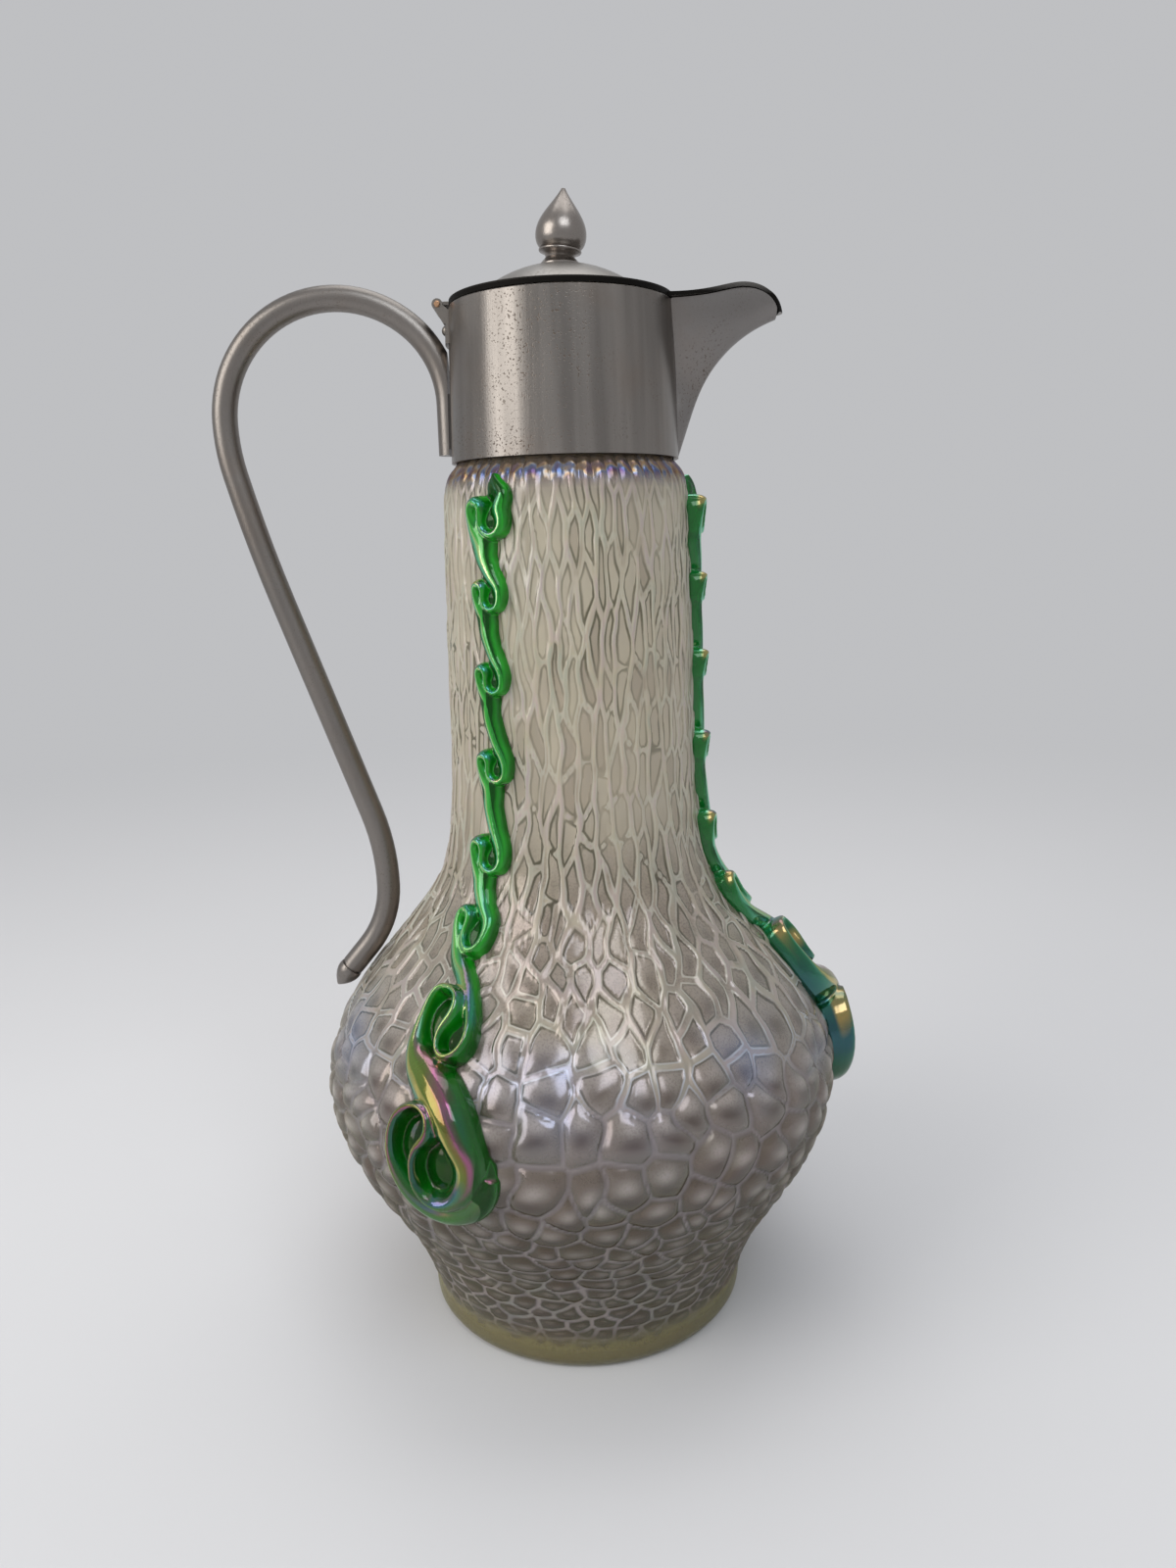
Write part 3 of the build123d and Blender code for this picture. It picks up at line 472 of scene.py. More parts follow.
def build_trail():
    """The first trail: its thread, a pad under each curl and the plates, joined and smoothed,
    with fields that say how each point of the surface faces and lies."""
    parts = [thread_tube(trail_thread())]
    for (across, height), size in curls:
        place = (across + 0.3 * size, height - 0.2 * size)
        parts.append(pad(place, 3.8 * size, 3.4 * size, 2.0 * size**0.5))
    parts += [pad(*plate) for plate in plates]
    verts = []
    faces = []
    offset = 0
    for part_verts, part_faces in parts:
        verts.append(part_verts)
        faces += [tuple(i + offset for i in f) for f in part_faces]
        offset += len(part_verts)
    obj = mesh_object("trail", np.concatenate(verts), faces)
    remesh = obj.modifiers.new("join", "REMESH")
    remesh.mode = "VOXEL"
    remesh.voxel_size = VOXEL_SIZE * MM
    smooth = obj.modifiers.new("smooth", "SMOOTH")
    smooth.factor = 0.5
    smooth.iterations = 9
    apply_modifiers(obj)
    # How far the surface faces round the vessel (side), away from its wall (out) and up along
    # the wall (up), and its lift off the wall in cm
    mesh = obj.data
    places = np.zeros(len(mesh.vertices) * 3)
    normals = np.zeros(len(mesh.vertices) * 3)
    mesh.vertices.foreach_get("co", places)
    mesh.vertices.foreach_get("normal", normals)
    places, normals = places.reshape(-1, 3), normals.reshape(-1, 3)
    outward = places[:, :2] / np.linalg.norm(places[:, :2], axis=1)[:, None]
    height = places[:, 2] / MM
    slope = outer_radius(height + 0.5) - outer_radius(height - 0.5)
    steep = np.hypot(1, slope)
    level = (normals[:, :2] * outward).sum(1)
    store_fields(mesh, {
        "side": normals[:, 1] * outward[:, 0] - normals[:, 0] * outward[:, 1],
        "out": (level - normals[:, 2] * slope) / steep,
        "up": (level * slope + normals[:, 2]) / steep,
        "lift": (np.hypot(places[:, 0], places[:, 1]) / MM - outer_radius(height)) / steep / 10,
    })
    return obj


first_trail = build_trail()
for name, turn in (("trail_front_left", 0), ("trail_right", 120), ("trail_rear_left", 240)):
    if turn:
        piece = bpy.data.objects.new(name + "_glass", first_trail.data.copy())
        bpy.context.scene.collection.objects.link(piece)
        piece.data.transform(Matrix.Rotation(math.radians(turn), 4, "Z"))
    else:
        piece = first_trail
        piece.name = name + "_glass"
    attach(piece, "jug")
    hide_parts(name)

# Materials


def set_stops(color_ramp, stops):
    """Gives a colour ramp these (position, colour) stops."""
    while len(color_ramp.elements) < len(stops):
        color_ramp.elements.new(0.5)
    for element, (position, colour) in zip(color_ramp.elements, stops):
        element.position = position
        element.color = (*colour, 1)


class Tree:
    """Short calls that add nodes to a new material or world."""

    def __init__(self, owner, output="OutputMaterial"):
        self.owner = owner
        owner.use_nodes = True
        self.nodes = owner.node_tree.nodes
        self.links = owner.node_tree.links
        self.nodes.clear()
        self.output = self.add(output)

    def add(self, kind, inputs=None, **settings):
        node = self.nodes.new("ShaderNode" + kind)
        for key, value in settings.items():
            setattr(node, key, value)
        for key, value in (inputs or {}).items():
            self.put(node.inputs[key], value)
        return node

    def put(self, socket, value):
        """Links a socket or sets a number, vector or colour without its alpha."""
        if isinstance(value, bpy.types.NodeSocket):
            self.links.new(value, socket)
        elif socket.type == "RGBA":
            socket.default_value = (*value, 1)
        else:
            socket.default_value = value

    def math(self, operation, a, b=0.0, clamp=False):
        node = self.add("Math", {0: a, 1: b}, operation=operation)
        node.use_clamp = clamp
        return node.outputs[0]

    def mix(self, factor, a, b):
        """Colour a turning into colour b as the factor goes from 0 to 1."""
        node = self.add("Mix", data_type="RGBA")
        self.put(node.inputs[0], factor)
        self.put(node.inputs[6], a)
        self.put(node.inputs[7], b)
        return node.outputs[2]

    def ramp(self, factor, stops):
        """A colour that runs through (position, colour) stops with the factor."""
        node = self.add("ValToRGB", {"Fac": factor})
        set_stops(node.color_ramp, stops)
        return node.outputs[0]

    def grey(self, factor, stops):
        """A value that runs through (position, value) stops with the factor."""
        return self.ramp(factor, [(p, (v, v, v)) for p, v in stops])

    def joined(self, operation, values):
        result = values[0]
        for value in values[1:]:
            result = self.math(operation, result, value)
        return result

    def product(self, *values):
        return self.joined("MULTIPLY", values)

    def total(self, *values):
        return self.joined("ADD", values)

    def less(self, value, cut, strength):
        """A value, lowered by the strength where the cut is 1."""
        return self.product(value, self.math("SUBTRACT", 1.0, self.product(cut, strength)))

    def place(self):
        return self.add("TexCoord").outputs["Object"]

    def height(self):
        """The height above the floor, in metres."""
        return self.add("SeparateXYZ", {0: self.place()}).outputs["Z"]

    def attribute(self, name):
        return self.add("Attribute", attribute_name=name).outputs["Fac"]

    def noise(self, scale, detail, rough=0.5, stretch=(1, 1, 1)):
        where = self.add("Mapping", {"Vector": self.place(), "Scale": stretch}).outputs[0]
        inputs = {"Vector": where, "Scale": scale, "Detail": detail, "Roughness": rough}
        return self.add("TexNoise", inputs).outputs["Fac"]

    def bump(self, height, strength, distance):
        inputs = {"Height": height, "Strength": strength, "Distance": distance}
        return self.add("Bump", inputs).outputs[0]

    def blend(self, factor, a, b):
        """Shader a turning into shader b as the factor goes from 0 to 1."""
        return self.add("MixShader", {0: factor, 1: a.outputs[0], 2: b.outputs[0]})

    def finish(self, shader):
        self.links.new(shader.outputs[0], self.output.inputs["Surface"])
        return self.owner


def pearl_glass():
    """Champagne glass under a pearly film: a pale web between the cells with a painted highlight
    along its edge and painted shade as fine dark lines inside it, brown painted shade in the
    lower middle and a painted highlight on the upper middle of the belly's cells, painted shade
    that darkens the glass low on the belly and just under the collar, and vivid colours under
    the collar. Stops along the height are in metres. Stops along reach are 0.5 on the web's edge
    and less inside a cell."""
    t = Tree(bpy.data.materials.new("pearl_glass"))
    edge, tone, core, crown, reach, distinct = (t.attribute(name) for name in VESSEL_FIELDS)
    height = t.height()
    cloud = t.noise(24, 3)
    drift = t.noise(75, 2)
    facing = t.add("LayerWeight", {"Blend": 0.5}).outputs["Facing"]
    fine = t.bump(t.noise(500, 2), 0.02, 0.0004)

    # The web, painted shade as a broken dark line inside its edge, and a painted highlight as a
    # bright line on its edge
    web_zone = t.grey(height, [
        (0.009, 0.0), (0.014, 0.75), (0.05, 0.65), (0.066, 0.3), (0.08, 0.2), (0.09, 1.0),
        (0.226, 1.0), (0.232, 0.0),
    ])
    web = t.product(t.grey(reach, [(0.46, 0.0), (0.53, 1.0)]), web_zone, distinct)
    inside = t.math("SUBTRACT", 1.0, web, clamp=True)
    web_strength = t.grey(height, [(0.06, 0.35), (0.085, 0.45), (0.12, 0.6), (0.15, 0.9)])
    web_strength = t.product(web, web_strength)
    web_colour = t.ramp(drift, [
        (0.34, (0.66, 0.70, 0.58)), (0.45, (0.80, 0.73, 0.56)), (0.54, (0.86, 0.72, 0.67)),
        (0.66, (0.76, 0.66, 0.67)),
    ])
    # Painted shade: a broken dark line just inside the web's edge, on each cell's wall
    broken = t.grey(t.noise(80, 2, stretch=(1, 1, 0.4)), [(0.42, 0.3), (0.58, 0.95)])
    line = t.grey(reach, [(0.27, 0.0), (0.35, 1.0), (0.41, 1.0), (0.45, 0.0)])
    painted_shade_line = t.product(line, web_zone, broken)
    # Painted highlight: a bright line along the web's edge, bluish on the upper belly
    highlight_zone = t.grey(height, [
        (0.082, 0.0), (0.090, 1.0), (0.118, 0.9), (0.135, 0.6), (0.222, 0.6), (0.228, 0.0),
    ])
    uneven = t.grey(t.noise(90, 2), [(0.4, 0.2), (0.56, 1.0)])
    side_line = t.grey(reach, [(0.42, 0.0), (0.46, 1.0), (0.51, 1.0), (0.56, 0.0)])
    painted_highlight_line = t.product(side_line, web_zone, uneven, highlight_zone)
    painted_highlight_colour = t.mix(
        t.grey(height, [(0.088, 1.0), (0.102, 0.0)]), (0.92, 0.92, 0.80), (0.78, 0.86, 1.0)
    )

    # Brown specks, shaded neck cells, creases between the pebbles, and the painted shade in each
    # pebble's lower middle and painted highlight on its upper middle
    speck = t.grey(t.noise(1900, 2), [(0.5, 0.0), (0.62, 1.0)])
    speck_zone = t.grey(height, [
        (0.012, 0.3), (0.06, 0.1), (0.09, 0.35), (0.122, 0.45), (0.145, 0.0),
    ])
    stain = t.product(speck, speck_zone, inside)
    on_neck = t.grey(height, [(0.09, 0.0), (0.12, 1.0), (0.226, 1.0), (0.23, 0.0)])
    shady = t.product(t.grey(tone, [(0.45, 0.0), (1.0, 0.55)]), on_neck, inside)
    belly = t.grey(height, [(0.010, 0.0), (0.014, 1.0), (0.084, 1.0), (0.094, 0.0)])
    crease = t.product(t.grey(edge, [(0.0, 1.0), (0.08, 0.7), (0.18, 0.0)]), belly)
    # Painted shade in the lower middle of each pebble
    painted_shade_middle = t.product(core, t.grey(height, [
        (0.01, 0.5), (0.04, 0.85), (0.08, 1.0), (0.1, 0.6), (0.13, 0.3), (0.15, 0.0),
    ]))
    # Painted highlight on the upper middle of each pebble
    painted_highlight_middle = t.product(crown, t.grey(height, [
        (0.012, 0.2), (0.05, 0.4), (0.07, 0.8), (0.085, 0.8), (0.1, 0.2),
    ]))

    def painted(base, dark, shade, speckle, shade_line_colour, crease_colour):
        """A colour over the surface, changed on each of those shares: dark is painted shade in the
        pebbles' lower middles; the pale upper middles and the bright line on the web's edge are
        painted highlights; the dark line inside the web's edge is painted shade.
        """
        colour = t.mix(painted_shade_middle, base, dark)
        colour = t.mix(shady, colour, shade)
        colour = t.mix(painted_highlight_middle, colour, (0.62, 0.57, 0.53))
        colour = t.mix(t.product(stain, 0.75), colour, speckle)
        colour = t.mix(t.product(crease, 0.8), colour, crease_colour)
        colour = t.mix(painted_shade_line, colour, shade_line_colour)
        colour = t.mix(web_strength, colour, web_colour)
        return t.mix(t.product(painted_highlight_line, 0.85), colour, painted_highlight_colour)

    # The clear glass; darker low on the belly and just under the collar, which is painted shade
    clear = t.ramp(height, [
        (0.0, (0.80, 0.78, 0.50)), (0.0085, (0.80, 0.78, 0.52)), (0.012, (0.44, 0.36, 0.23)),
        (0.045, (0.46, 0.38, 0.27)), (0.075, (0.67, 0.61, 0.53)), (0.10, (0.86, 0.83, 0.75)),
        (0.14, (0.96, 0.95, 0.84)), (0.226, (0.97, 0.96, 0.85)), (0.2305, (0.38, 0.29, 0.28)),
        (0.2345, (0.8, 0.75, 0.62)),
    ])
    tint = painted(
        clear, dark=(0.50, 0.42, 0.34), shade=(0.72, 0.62, 0.52), speckle=(0.45, 0.36, 0.28),
        shade_line_colour=(0.28, 0.30, 0.17), crease_colour=(0.72, 0.69, 0.72),
    )
    glass = t.add("BsdfPrincipled", {
        "Base Color": tint, "Roughness": t.grey(drift, [(0.3, 0.1), (0.7, 0.19)]),
        "IOR": 1.48, "Transmission Weight": 1.0, "Normal": fine,
    })

    # The milky share of the wall; much darker low on the belly and just under the collar, which is
    # painted shade
    milky = t.ramp(height, [
        (0.0, (0.34, 0.30, 0.12)), (0.0085, (0.36, 0.32, 0.14)), (0.012, (0.085, 0.062, 0.030)),
        (0.045, (0.088, 0.065, 0.036)), (0.068, (0.145, 0.115, 0.084)), (0.082, (0.30, 0.27, 0.245)),
        (0.098, (0.46, 0.41, 0.34)), (0.125, (0.56, 0.49, 0.39)), (0.15, (0.76, 0.69, 0.55)),
        (0.226, (0.82, 0.75, 0.60)), (0.2300, (0.08, 0.056, 0.054)), (0.2345, (0.34, 0.28, 0.20)),
    ])
    milky = painted(
        milky, dark=(0.06, 0.042, 0.03), shade=(0.40, 0.32, 0.25), speckle=(0.10, 0.07, 0.045),
        shade_line_colour=(0.065, 0.07, 0.035), crease_colour=(0.34, 0.31, 0.33),
    )
    milk = t.add("BsdfTranslucent", {"Color": milky, "Normal": fine})
    chalk = t.add("BsdfDiffuse", {"Color": milky, "Normal": fine})
    haze_share = t.grey(height, [
        (0.0, 0.35), (0.012, 0.72), (0.06, 0.72), (0.085, 0.62), (0.12, 0.56), (0.24, 0.48),
    ])
    chalk_share = 0.65
    body = t.blend(haze_share, glass, t.blend(chalk_share, milk, chalk))

    # The film: pearly all over; bluer and stronger on the upper belly, partly its lustre and partly a
    # painted reflection of a bluish light; vivid under the collar
    phase = t.total(t.product(cloud, 0.9), t.product(tone, 0.3), t.product(facing, 0.8))
    phase = t.math("FRACT", t.total(phase, t.product(drift, 0.35)))
    pearl = t.ramp(phase, [
        (0.0, (0.72, 0.66, 0.70)), (0.18, (0.66, 0.70, 0.72)), (0.34, (0.66, 0.76, 0.62)),
        (0.5, (0.86, 0.80, 0.58)), (0.66, (0.90, 0.72, 0.62)), (0.84, (0.82, 0.62, 0.66)),
        (1.0, (0.72, 0.66, 0.70)),
    ])
    pearl = t.mix(0.35, pearl, (0.84, 0.78, 0.68))
    blue_zone = t.grey(height, [(0.074, 0.0), (0.084, 0.8), (0.094, 0.7), (0.104, 0.0)])
    blue_share = t.product(blue_zone, t.grey(cloud, [(0.46, 0.0), (0.62, 1.0)]))
    pearl = t.mix(blue_share, pearl, (0.42, 0.57, 0.98))
    vivid_phase = t.math("FRACT", t.total(t.product(t.noise(260, 1), 2.2), facing))
    vivid = t.ramp(vivid_phase, [
        (0.0, (0.12, 0.06, 0.26)), (0.25, (0.10, 0.22, 0.50)), (0.42, (0.48, 0.43, 0.38)),
        (0.52, (0.50, 0.30, 0.10)), (0.75, (0.20, 0.09, 0.12)), (1.0, (0.12, 0.06, 0.26)),
    ])
    top_band = t.grey(height, [(0.2275, 0.0), (0.2300, 1.0), (0.2345, 0.8)])
    film_colour = t.mix(top_band, pearl, vivid)
    film = t.add("BsdfGlossy", {"Color": film_colour, "Roughness": 0.2, "Normal": fine})
    film_share = t.total(t.product(facing, 0.12), t.product(top_band, 0.36))
    film_share = t.total(film_share, t.product(blue_share, 0.16))
    film_zone = t.grey(height, [(0.05, 0.02), (0.08, 0.09), (0.1, 0.11), (0.14, 0.05)])
    film_share = t.math("ADD", film_share, film_zone, clamp=True)
    return t.finish(t.blend(film_share, body, film))


def lustre_green():
    """Emerald glass, lighter and darker by which way the surface faces, which is painted light and
    shade, and darker in the eyes, which is painted shade; with a lustre that follows the thread's
    sides: teal on the left, a bright line that is a painted highlight, then clear green; gold,
    brown and purple on the wide end; purple on the arches. Phase runs from 0 where the surface
    faces left to 1 where it faces right; lift is in cm."""
    t = Tree(bpy.data.materials.new("lustre_green"))
    side, out, up, lift = (t.attribute(name) for name in ("side", "out", "up", "lift"))
    facing = t.add("LayerWeight", {"Blend": 0.5}).outputs["Facing"]
    height = t.height()
    cloud = t.noise(60, 2)
    fine = t.bump(t.noise(260, 2), 0.1, 0.0006)

    # The thin glass that fills the eyes: low and level
    floor_lift = t.grey(height, [
        (0.060, 0.30), (0.070, 0.40), (0.086, 0.40), (0.094, 0.34), (0.110, 0.32), (0.116, 0.27),
    ])
    is_low = t.math("LESS_THAN", lift, floor_lift)
    eye = t.product(is_low, t.grey(out, [(0.55, 0.0), (0.85, 1.0)]))

    # The green glass, lighter and darker by which way the surface faces round the vessel and darker
    # in the eyes: painted light and shade
    phase = t.math("ADD", t.product(side, 0.5), 0.5)
    phase = t.total(phase, t.product(t.math("SUBTRACT", cloud, 0.5), 0.35))
    depth = t.ramp(phase, [
        (0.0, (0.01, 0.30, 0.05)), (0.3, (0.05, 0.55, 0.16)), (0.5, (0.14, 0.90, 0.14)),
        (0.75, (0.03, 0.58, 0.05)), (1.0, (0.005, 0.35, 0.015)),
    ])
    glass = t.add("BsdfPrincipled", {
        "Base Color": t.mix(eye, depth, (0.01, 0.30, 0.015)), "Roughness": 0.04,
        "IOR": 1.5, "Transmission Weight": 0.9, "Normal": fine,
    })
    glow = t.ramp(phase, [
        (0.0, (0.003, 0.16, 0.02)), (0.3, (0.012, 0.40, 0.09)), (0.47, (0.04, 0.80, 0.06)),
        (0.56, (0.02, 0.68, 0.03)), (0.68, (0.005, 0.30, 0.010)), (0.86, (0.02, 0.75, 0.02)),
        (1.0, (0.003, 0.25, 0.006)),
    ])
    glow = t.mix(t.grey(height, [(0.088, 0.8), (0.112, 0.0)]), glow, (0.002, 0.11, 0.003))
    # Painted shade: the eyes darker green
    glow = t.mix(eye, glow, (0.001, 0.07, 0.003))
    through = t.add("BsdfTranslucent", {"Color": glow})
    milk = t.add("BsdfDiffuse", {"Color": glow})
    glow_share, milk_share = 0.66, 0.5
    body = t.blend(glow_share, glass, t.blend(milk_share, through, milk))

    # The lustre of the thin thread above and of the wide end below: its colours and its shares, set
    # by which way the surface faces; the bright yellow and gold lines are painted highlights
    lower_part = t.grey(height, [(0.092, 1.0), (0.128, 0.0)])
    # Painted highlight: the bright yellow line near phase 0.45 here and the gold line near 0.36 below
    upper = t.ramp(phase, [
        (0.0, (0.01, 0.30, 0.03)), (0.13, (0.01, 0.30, 0.03)), (0.22, (0.26, 0.85, 0.58)),
        (0.38, (0.30, 0.88, 0.62)), (0.45, (0.95, 0.90, 0.50)), (0.52, (0.30, 0.70, 0.30)),
        (0.74, (0.04, 0.40, 0.08)), (1.0, (0.01, 0.12, 0.02)),
    ])
    upper_share = t.grey(phase, [
        (0.10, 0.08), (0.22, 0.55), (0.38, 0.6), (0.45, 0.75), (0.52, 0.2), (0.62, 0.12),
        (0.72, 0.06), (1.0, 0.1),
    ])
    lower = t.ramp(phase, [
        (0.0, (0.02, 0.10, 0.16)), (0.28, (0.04, 0.30, 0.20)), (0.36, (0.80, 0.60, 0.16)),
        (0.42, (0.24, 0.23, 0.03)), (0.56, (0.24, 0.12, 0.03)), (0.68, (0.46, 0.08, 0.28)),
        (0.77, (0.10, 0.045, 0.07)), (0.86, (0.03, 0.10, 0.03)), (1.0, (0.005, 0.10, 0.01)),
    ])
    lower_share = t.grey(phase, [
        (0.0, 0.8), (0.22, 0.75), (0.28, 0.6), (0.36, 0.85), (0.42, 0.8), (0.56, 0.85),
        (0.68, 0.9), (0.77, 0.75), (0.86, 0.4), (0.94, 0.15),
    ])
    lower_share = t.product(lower_share, t.grey(height, [(0.065, 0.1), (0.075, 1.0)]))
    colour = t.mix(lower_part, upper, lower)
    lustre = t.mix(lower_part, upper_share, lower_share)

    # The arches, apart from the broad body of the scroll, and the high walls of its threads
    raised = t.grey(lift, [(0.22, 0.0), (0.32, 1.0)])
    beside_body = t.grey(height, [(0.0855, 1.0), (0.0870, 0.0), (0.0985, 0.0), (0.1005, 1.0)])
    is_scroll = t.math("LESS_THAN", height, 0.09)
    left_of_body = t.mix(is_scroll, (1, 1, 1), t.grey(side, [(0.2, 1.0), (0.45, 0.0)]))
    arch = t.product(t.grey(up, [(-0.05, 0.0), (0.3, 1.0)]), raised)
    arch = t.product(arch, t.product(beside_body, left_of_body))
    arch_colour = t.ramp(t.total(cloud, t.product(side, 0.25)), [
        (0.32, (0.70, 0.45, 0.16)), (0.43, (0.30, 0.08, 0.20)), (0.53, (0.09, 0.09, 0.32)),
        (0.64, (0.03, 0.24, 0.32)),
    ])
    high_wall = t.product(t.grey(lift, [(0.40, 0.0), (0.58, 1.0)]), lower_part)
    high_wall = t.product(high_wall, t.grey(phase, [(0.78, 0.0), (0.90, 1.0)]))
    for place, tint in ((arch, arch_colour), (high_wall, (0.03, 0.09, 0.13))):
        colour = t.mix(place, colour, tint)
        lustre = t.mix(t.product(place, 0.8), lustre, (0.7, 0.7, 0.7))
    film = t.add("BsdfGlossy", {"Color": colour, "Roughness": 0.13, "Normal": fine})
    film_share = t.product(
        t.grey(facing, [(0.0, 0.75), (0.5, 0.85), (1.0, 1.0)]), t.less(lustre, eye, 0.9)
    )
    dressed = t.blend(film_share, body, film)

    # A clear gloss over all
    gloss = t.add("BsdfGlossy", {"Roughness": 0.05, "Normal": fine})
    fresnel = t.add("Fresnel", {"IOR": 1.45, "Normal": fine})
    return t.finish(t.blend(t.less(fresnel.outputs[0], eye, 0.8), dressed, gloss))


def scaled(colour, factor):
    return tuple(min(1, c * factor) for c in colour)


def pewter(
    name, base=(0.292, 0.268, 0.246), rough=0.3, brush=(1, 1, 0.03), rim_tarnish_and_shade=False, pits=1.0, streak_and_reflection_bands=0.0
):
    """Worn pewter: brushing, pits, brown tarnish, upright dark bands that are partly brushed streaks
    and partly painted reflections, and uneven gloss.
    """
    t = Tree(bpy.data.materials.new(name))
    brushing = t.noise(2400, 2, stretch=brush)
    broad = t.noise(28, 3)
    grain = t.noise(1500, 2)
    pit = t.grey(t.noise(1900, 1.5, 0.4), [(0.60, 0.0), (0.69, pits)])
    pit = t.product(pit, t.grey(t.noise(40, 2), [(0.42, 0.1), (0.6, 1.0)]))
    tarnish = t.grey(t.noise(46, 4, 0.62), [(0.5, 0.0), (0.75, 0.55)])
    # Upright dark bands: partly brushed streaks, partly painted reflections
    streak_and_reflection_band = t.grey(t.noise(170, 2, stretch=(1, 1, 0.05)), [(0.38, 0.0), (0.62, streak_and_reflection_bands)])
    colour = t.mix(broad, scaled(base, 0.84), scaled(base, 1.16))
    colour = t.mix(t.product(brushing, 0.3), colour, scaled(base, 0.65))
    colour = t.mix(streak_and_reflection_band, colour, scaled(base, 0.55))
    colour = t.mix(t.product(tarnish, 0.45), colour, (0.22, 0.155, 0.11))
    colour = t.mix(t.product(pit, 0.72), colour, (0.11, 0.08, 0.06))
    roughness = t.math("ADD", t.product(broad, 0.12), rough - 0.06)
    roughness = t.math("ADD", roughness, t.product(pit, 0.3), clamp=True)
    if rim_tarnish_and_shade:
        # The upright edge of the lid and its tongue, below the dome, near black: partly tarnish, partly
        # painted shadow and a painted dark reflection
        facing_up = t.add("SeparateXYZ", {0: t.add("TexCoord").outputs["Normal"]}).outputs["Z"]
        upright = t.grey(t.math("ABSOLUTE", facing_up), [(0.45, 1.0), (0.7, 0.0)])
        rim = t.product(upright, t.grey(t.height(), [(0.2738, 1.0), (0.2744, 0.0)]))
        colour = t.mix(rim, colour, (0.012, 0.011, 0.010))
        roughness = t.math("ADD", roughness, t.product(rim, 0.25), clamp=True)
    surface = t.total(t.product(brushing, 0.5), t.product(grain, 0.35))
    normal = t.bump(t.math("SUBTRACT", surface, pit), 0.22, 0.00012)
    return t.finish(t.add("BsdfPrincipled", {
        "Base Color": colour, "Metallic": 1.0, "Roughness": roughness, "Normal": normal,
    }))


def plain_metal(name, low, high, rough):
    """A plain metal between two colours, with a fine uneven surface."""
    t = Tree(bpy.data.materials.new(name))
    spread = t.noise(300, 4)
    return t.finish(t.add("BsdfPrincipled", {
        "Base Color": t.mix(spread, low, high), "Metallic": 1.0,
        "Roughness": t.math("ADD", t.product(spread, 0.2), rough - 0.1),
        "Normal": t.bump(t.noise(1400, 3), 0.3, 0.0002),
    }))


def plaster():
    t = Tree(bpy.data.materials.new("plaster"))
    spread = t.noise(500, 5, 0.7)
    return t.finish(t.add("BsdfPrincipled", {
        "Base Color": t.mix(spread, (0.62, 0.57, 0.48), (0.80, 0.77, 0.69)),
        "Roughness": t.grey(spread, [(0.3, 0.75), (0.7, 0.95)]), "Normal": t.bump(spread, 0.5, 0.0005),
    }))


def dress(obj, material):
    obj.data.materials.clear()
    obj.data.materials.append(material)


dress(vessel, pearl_glass())
green = lustre_green()
for name in ("trail_front_left", "trail_right", "trail_rear_left"):
    dress(bpy.data.objects[name + "_glass"], green)
round_brush = {"brush": (1, 1, 1)}
collar_metal = pewter("pewter_collar", streak_and_reflection_bands=0.7)
lid_metal = pewter(
    "pewter_lid", base=(0.285, 0.27, 0.252), rough=0.38, rim_tarnish_and_shade=True, pits=0.6, **round_brush
)
spout_metal = pewter("pewter_spout", base=(0.25, 0.235, 0.225), rough=0.34, brush=(1, 1, 0.2))
handle_metal = pewter(
    "pewter_handle", base=(0.235, 0.215, 0.198), rough=0.35, brush=(1, 1, 0.15), pits=0.5
)
finial_metal = pewter(
    "pewter_finial", base=(0.29, 0.262, 0.24), rough=0.27, pits=0.4, **round_brush
)
hinge_metal = pewter("pewter_hinge", base=(0.22, 0.20, 0.18), rough=0.38, pits=0.8, **round_brush)
brass = plain_metal("dull_brass", (0.42, 0.30, 0.14), (0.62, 0.47, 0.24), 0.36)
looks = {
    "collar": collar_metal,
    "neck_ring": collar_metal,
    "spout": spout_metal,
    "lid": lid_metal,
    "finial": finial_metal,
    "handle": handle_metal,
    "handle_tip": handle_metal,
    "hinge_leaf_collar": hinge_metal,
    "hinge_leaf_lid": hinge_metal,
    "hinge_rivets": hinge_metal,
    "hinge_pin": plain_metal("copper_pin", (0.45, 0.24, 0.13), (0.70, 0.44, 0.27), 0.34),
    "finial_washer": brass,
    "finial_nut": brass,
    "handle_solder": plain_metal("solder", (0.16, 0.14, 0.13), (0.36, 0.34, 0.32), 0.5),
    "cement_ring": plaster(),
}
for node, material in looks.items():
    dress(nodes[node], material)

# Floor, light and camera


def floor_paper():
    """Pale paper that takes the backdrop's colour far from the jug."""
    t = Tree(bpy.data.materials.new("floor_paper"))
    paper = t.mix(t.noise(6, 3), (0.62, 0.62, 0.63), (0.64, 0.64, 0.65))
    near = t.add("BsdfDiffuse", {"Color": paper})
    far = t.add("Emission", {"Color": BACKDROP})
    away = t.add("VectorMath", {0: t.place()}, operation="LENGTH").outputs["Value"]
    return t.finish(t.blend(t.grey(t.product(away, 0.5), [(0.12, 0.0), (0.5, 1.0)]), near, far))


floor_mesh = bpy.data.meshes.new("floor")
builder = bmesh.new()
bmesh.ops.create_circle(builder, cap_ends=True, radius=6.0, segments=96)
builder.to_mesh(floor_mesh)
builder.free()
floor = bpy.data.objects.new("floor", floor_mesh)
bpy.context.scene.collection.objects.link(floor)
dress(floor, floor_paper())


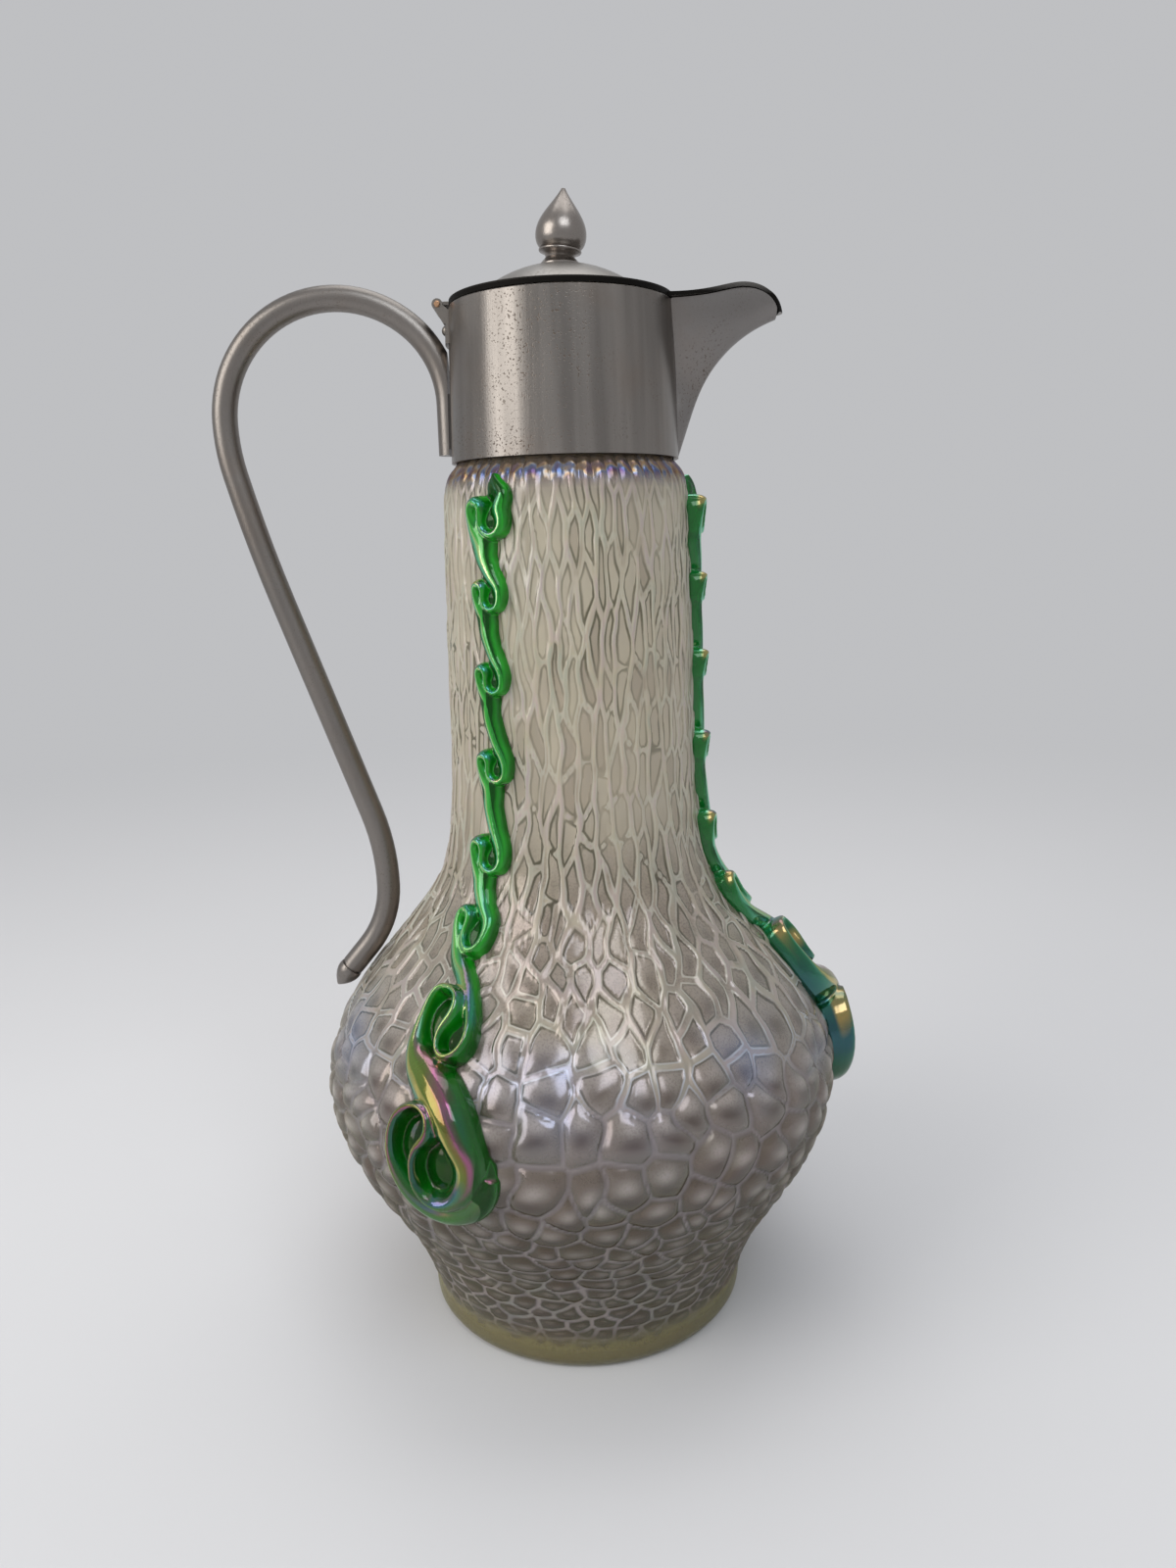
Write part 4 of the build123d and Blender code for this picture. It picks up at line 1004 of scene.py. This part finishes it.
def studio_world():
    """A pale backdrop, seen directly, in gloss and through glass; for light, a dome that is
    brighter on one side."""
    world = bpy.data.worlds.new("studio")
    bpy.context.scene.world = world
    t = Tree(world, "OutputWorld")
    inputs = {0: t.add("TexCoord").outputs["Generated"], 1: (-0.43, -0.25, 0.05)}
    toward_bright = t.add("VectorMath", inputs, operation="DOT_PRODUCT").outputs["Value"]
    levels = [
        (0.0, 0.75), (0.1, 0.5), (0.19, 0.28), (0.32, 0.32), (0.5, 0.68), (0.8, 0.8), (0.92, 0.95),
        (1.0, 1.3),
    ]
    dome = t.ramp(t.math("ADD", toward_bright, 0.5), [(p, (v, v, v**0.96)) for p, v in levels])
    path = t.add("LightPath")
    sees_backdrop = path.outputs["Is Camera Ray"]
    for ray in ("Is Transmission Ray", "Is Glossy Ray"):
        sees_backdrop = t.math("MAXIMUM", sees_backdrop, path.outputs[ray])
    t.finish(t.add("Background", {"Color": t.mix(sees_backdrop, dome, BACKDROP)}))


def area_light(name, place, target, size, power, colour=(1, 1, 1)):
    data = bpy.data.lights.new(name, "AREA")
    data.shape = "RECTANGLE"
    data.size, data.size_y = size
    data.energy = power
    data.color = colour
    light = bpy.data.objects.new(name, data)
    bpy.context.scene.collection.objects.link(light)
    light.location = place
    light.rotation_mode = "QUATERNION"
    light.rotation_quaternion = (Vector(target) - Vector(place)).to_track_quat("-Z", "Y")


studio_world()
middle = (0, 0, 0.15)
area_light("key", (-1.0, -0.62, 0.7), middle, (0.8, 1.0), 8.0, (1.0, 0.97, 0.93))
area_light("window", (0.3, -0.85, 1.1), middle, (0.7, 0.6), 4.5, (0.88, 0.94, 1.0))
area_light("top", (0.1, 0.3, 1.3), middle, (0.9, 0.9), 4.0)

camera_data = bpy.data.cameras.new("camera")
camera_data.sensor_width = 36.0
camera_data.lens = 25.99
camera_data.clip_start = 0.01
camera_data.clip_end = 50
camera = bpy.data.objects.new("camera", camera_data)
bpy.context.scene.collection.objects.link(camera)
camera_place = (0.00371, -0.305, 0.2132)
pitch, roll = math.radians(11.9), math.radians(-1.485)
ahead = Vector((0, math.cos(pitch), -math.sin(pitch)))
level_up = Vector((0, math.sin(pitch), math.cos(pitch)))
level_right = Vector((1, 0, 0))
right = level_right * math.cos(roll) + level_up * math.sin(roll)
up = level_up * math.cos(roll) - level_right * math.sin(roll)
camera.matrix_world = Matrix((
    (right.x, up.x, -ahead.x, camera_place[0]),
    (right.y, up.y, -ahead.y, camera_place[1]),
    (right.z, up.z, -ahead.z, camera_place[2]),
    (0, 0, 0, 1),
))
bpy.context.scene.camera = camera
bpy.context.scene.view_settings.view_transform = "Standard"
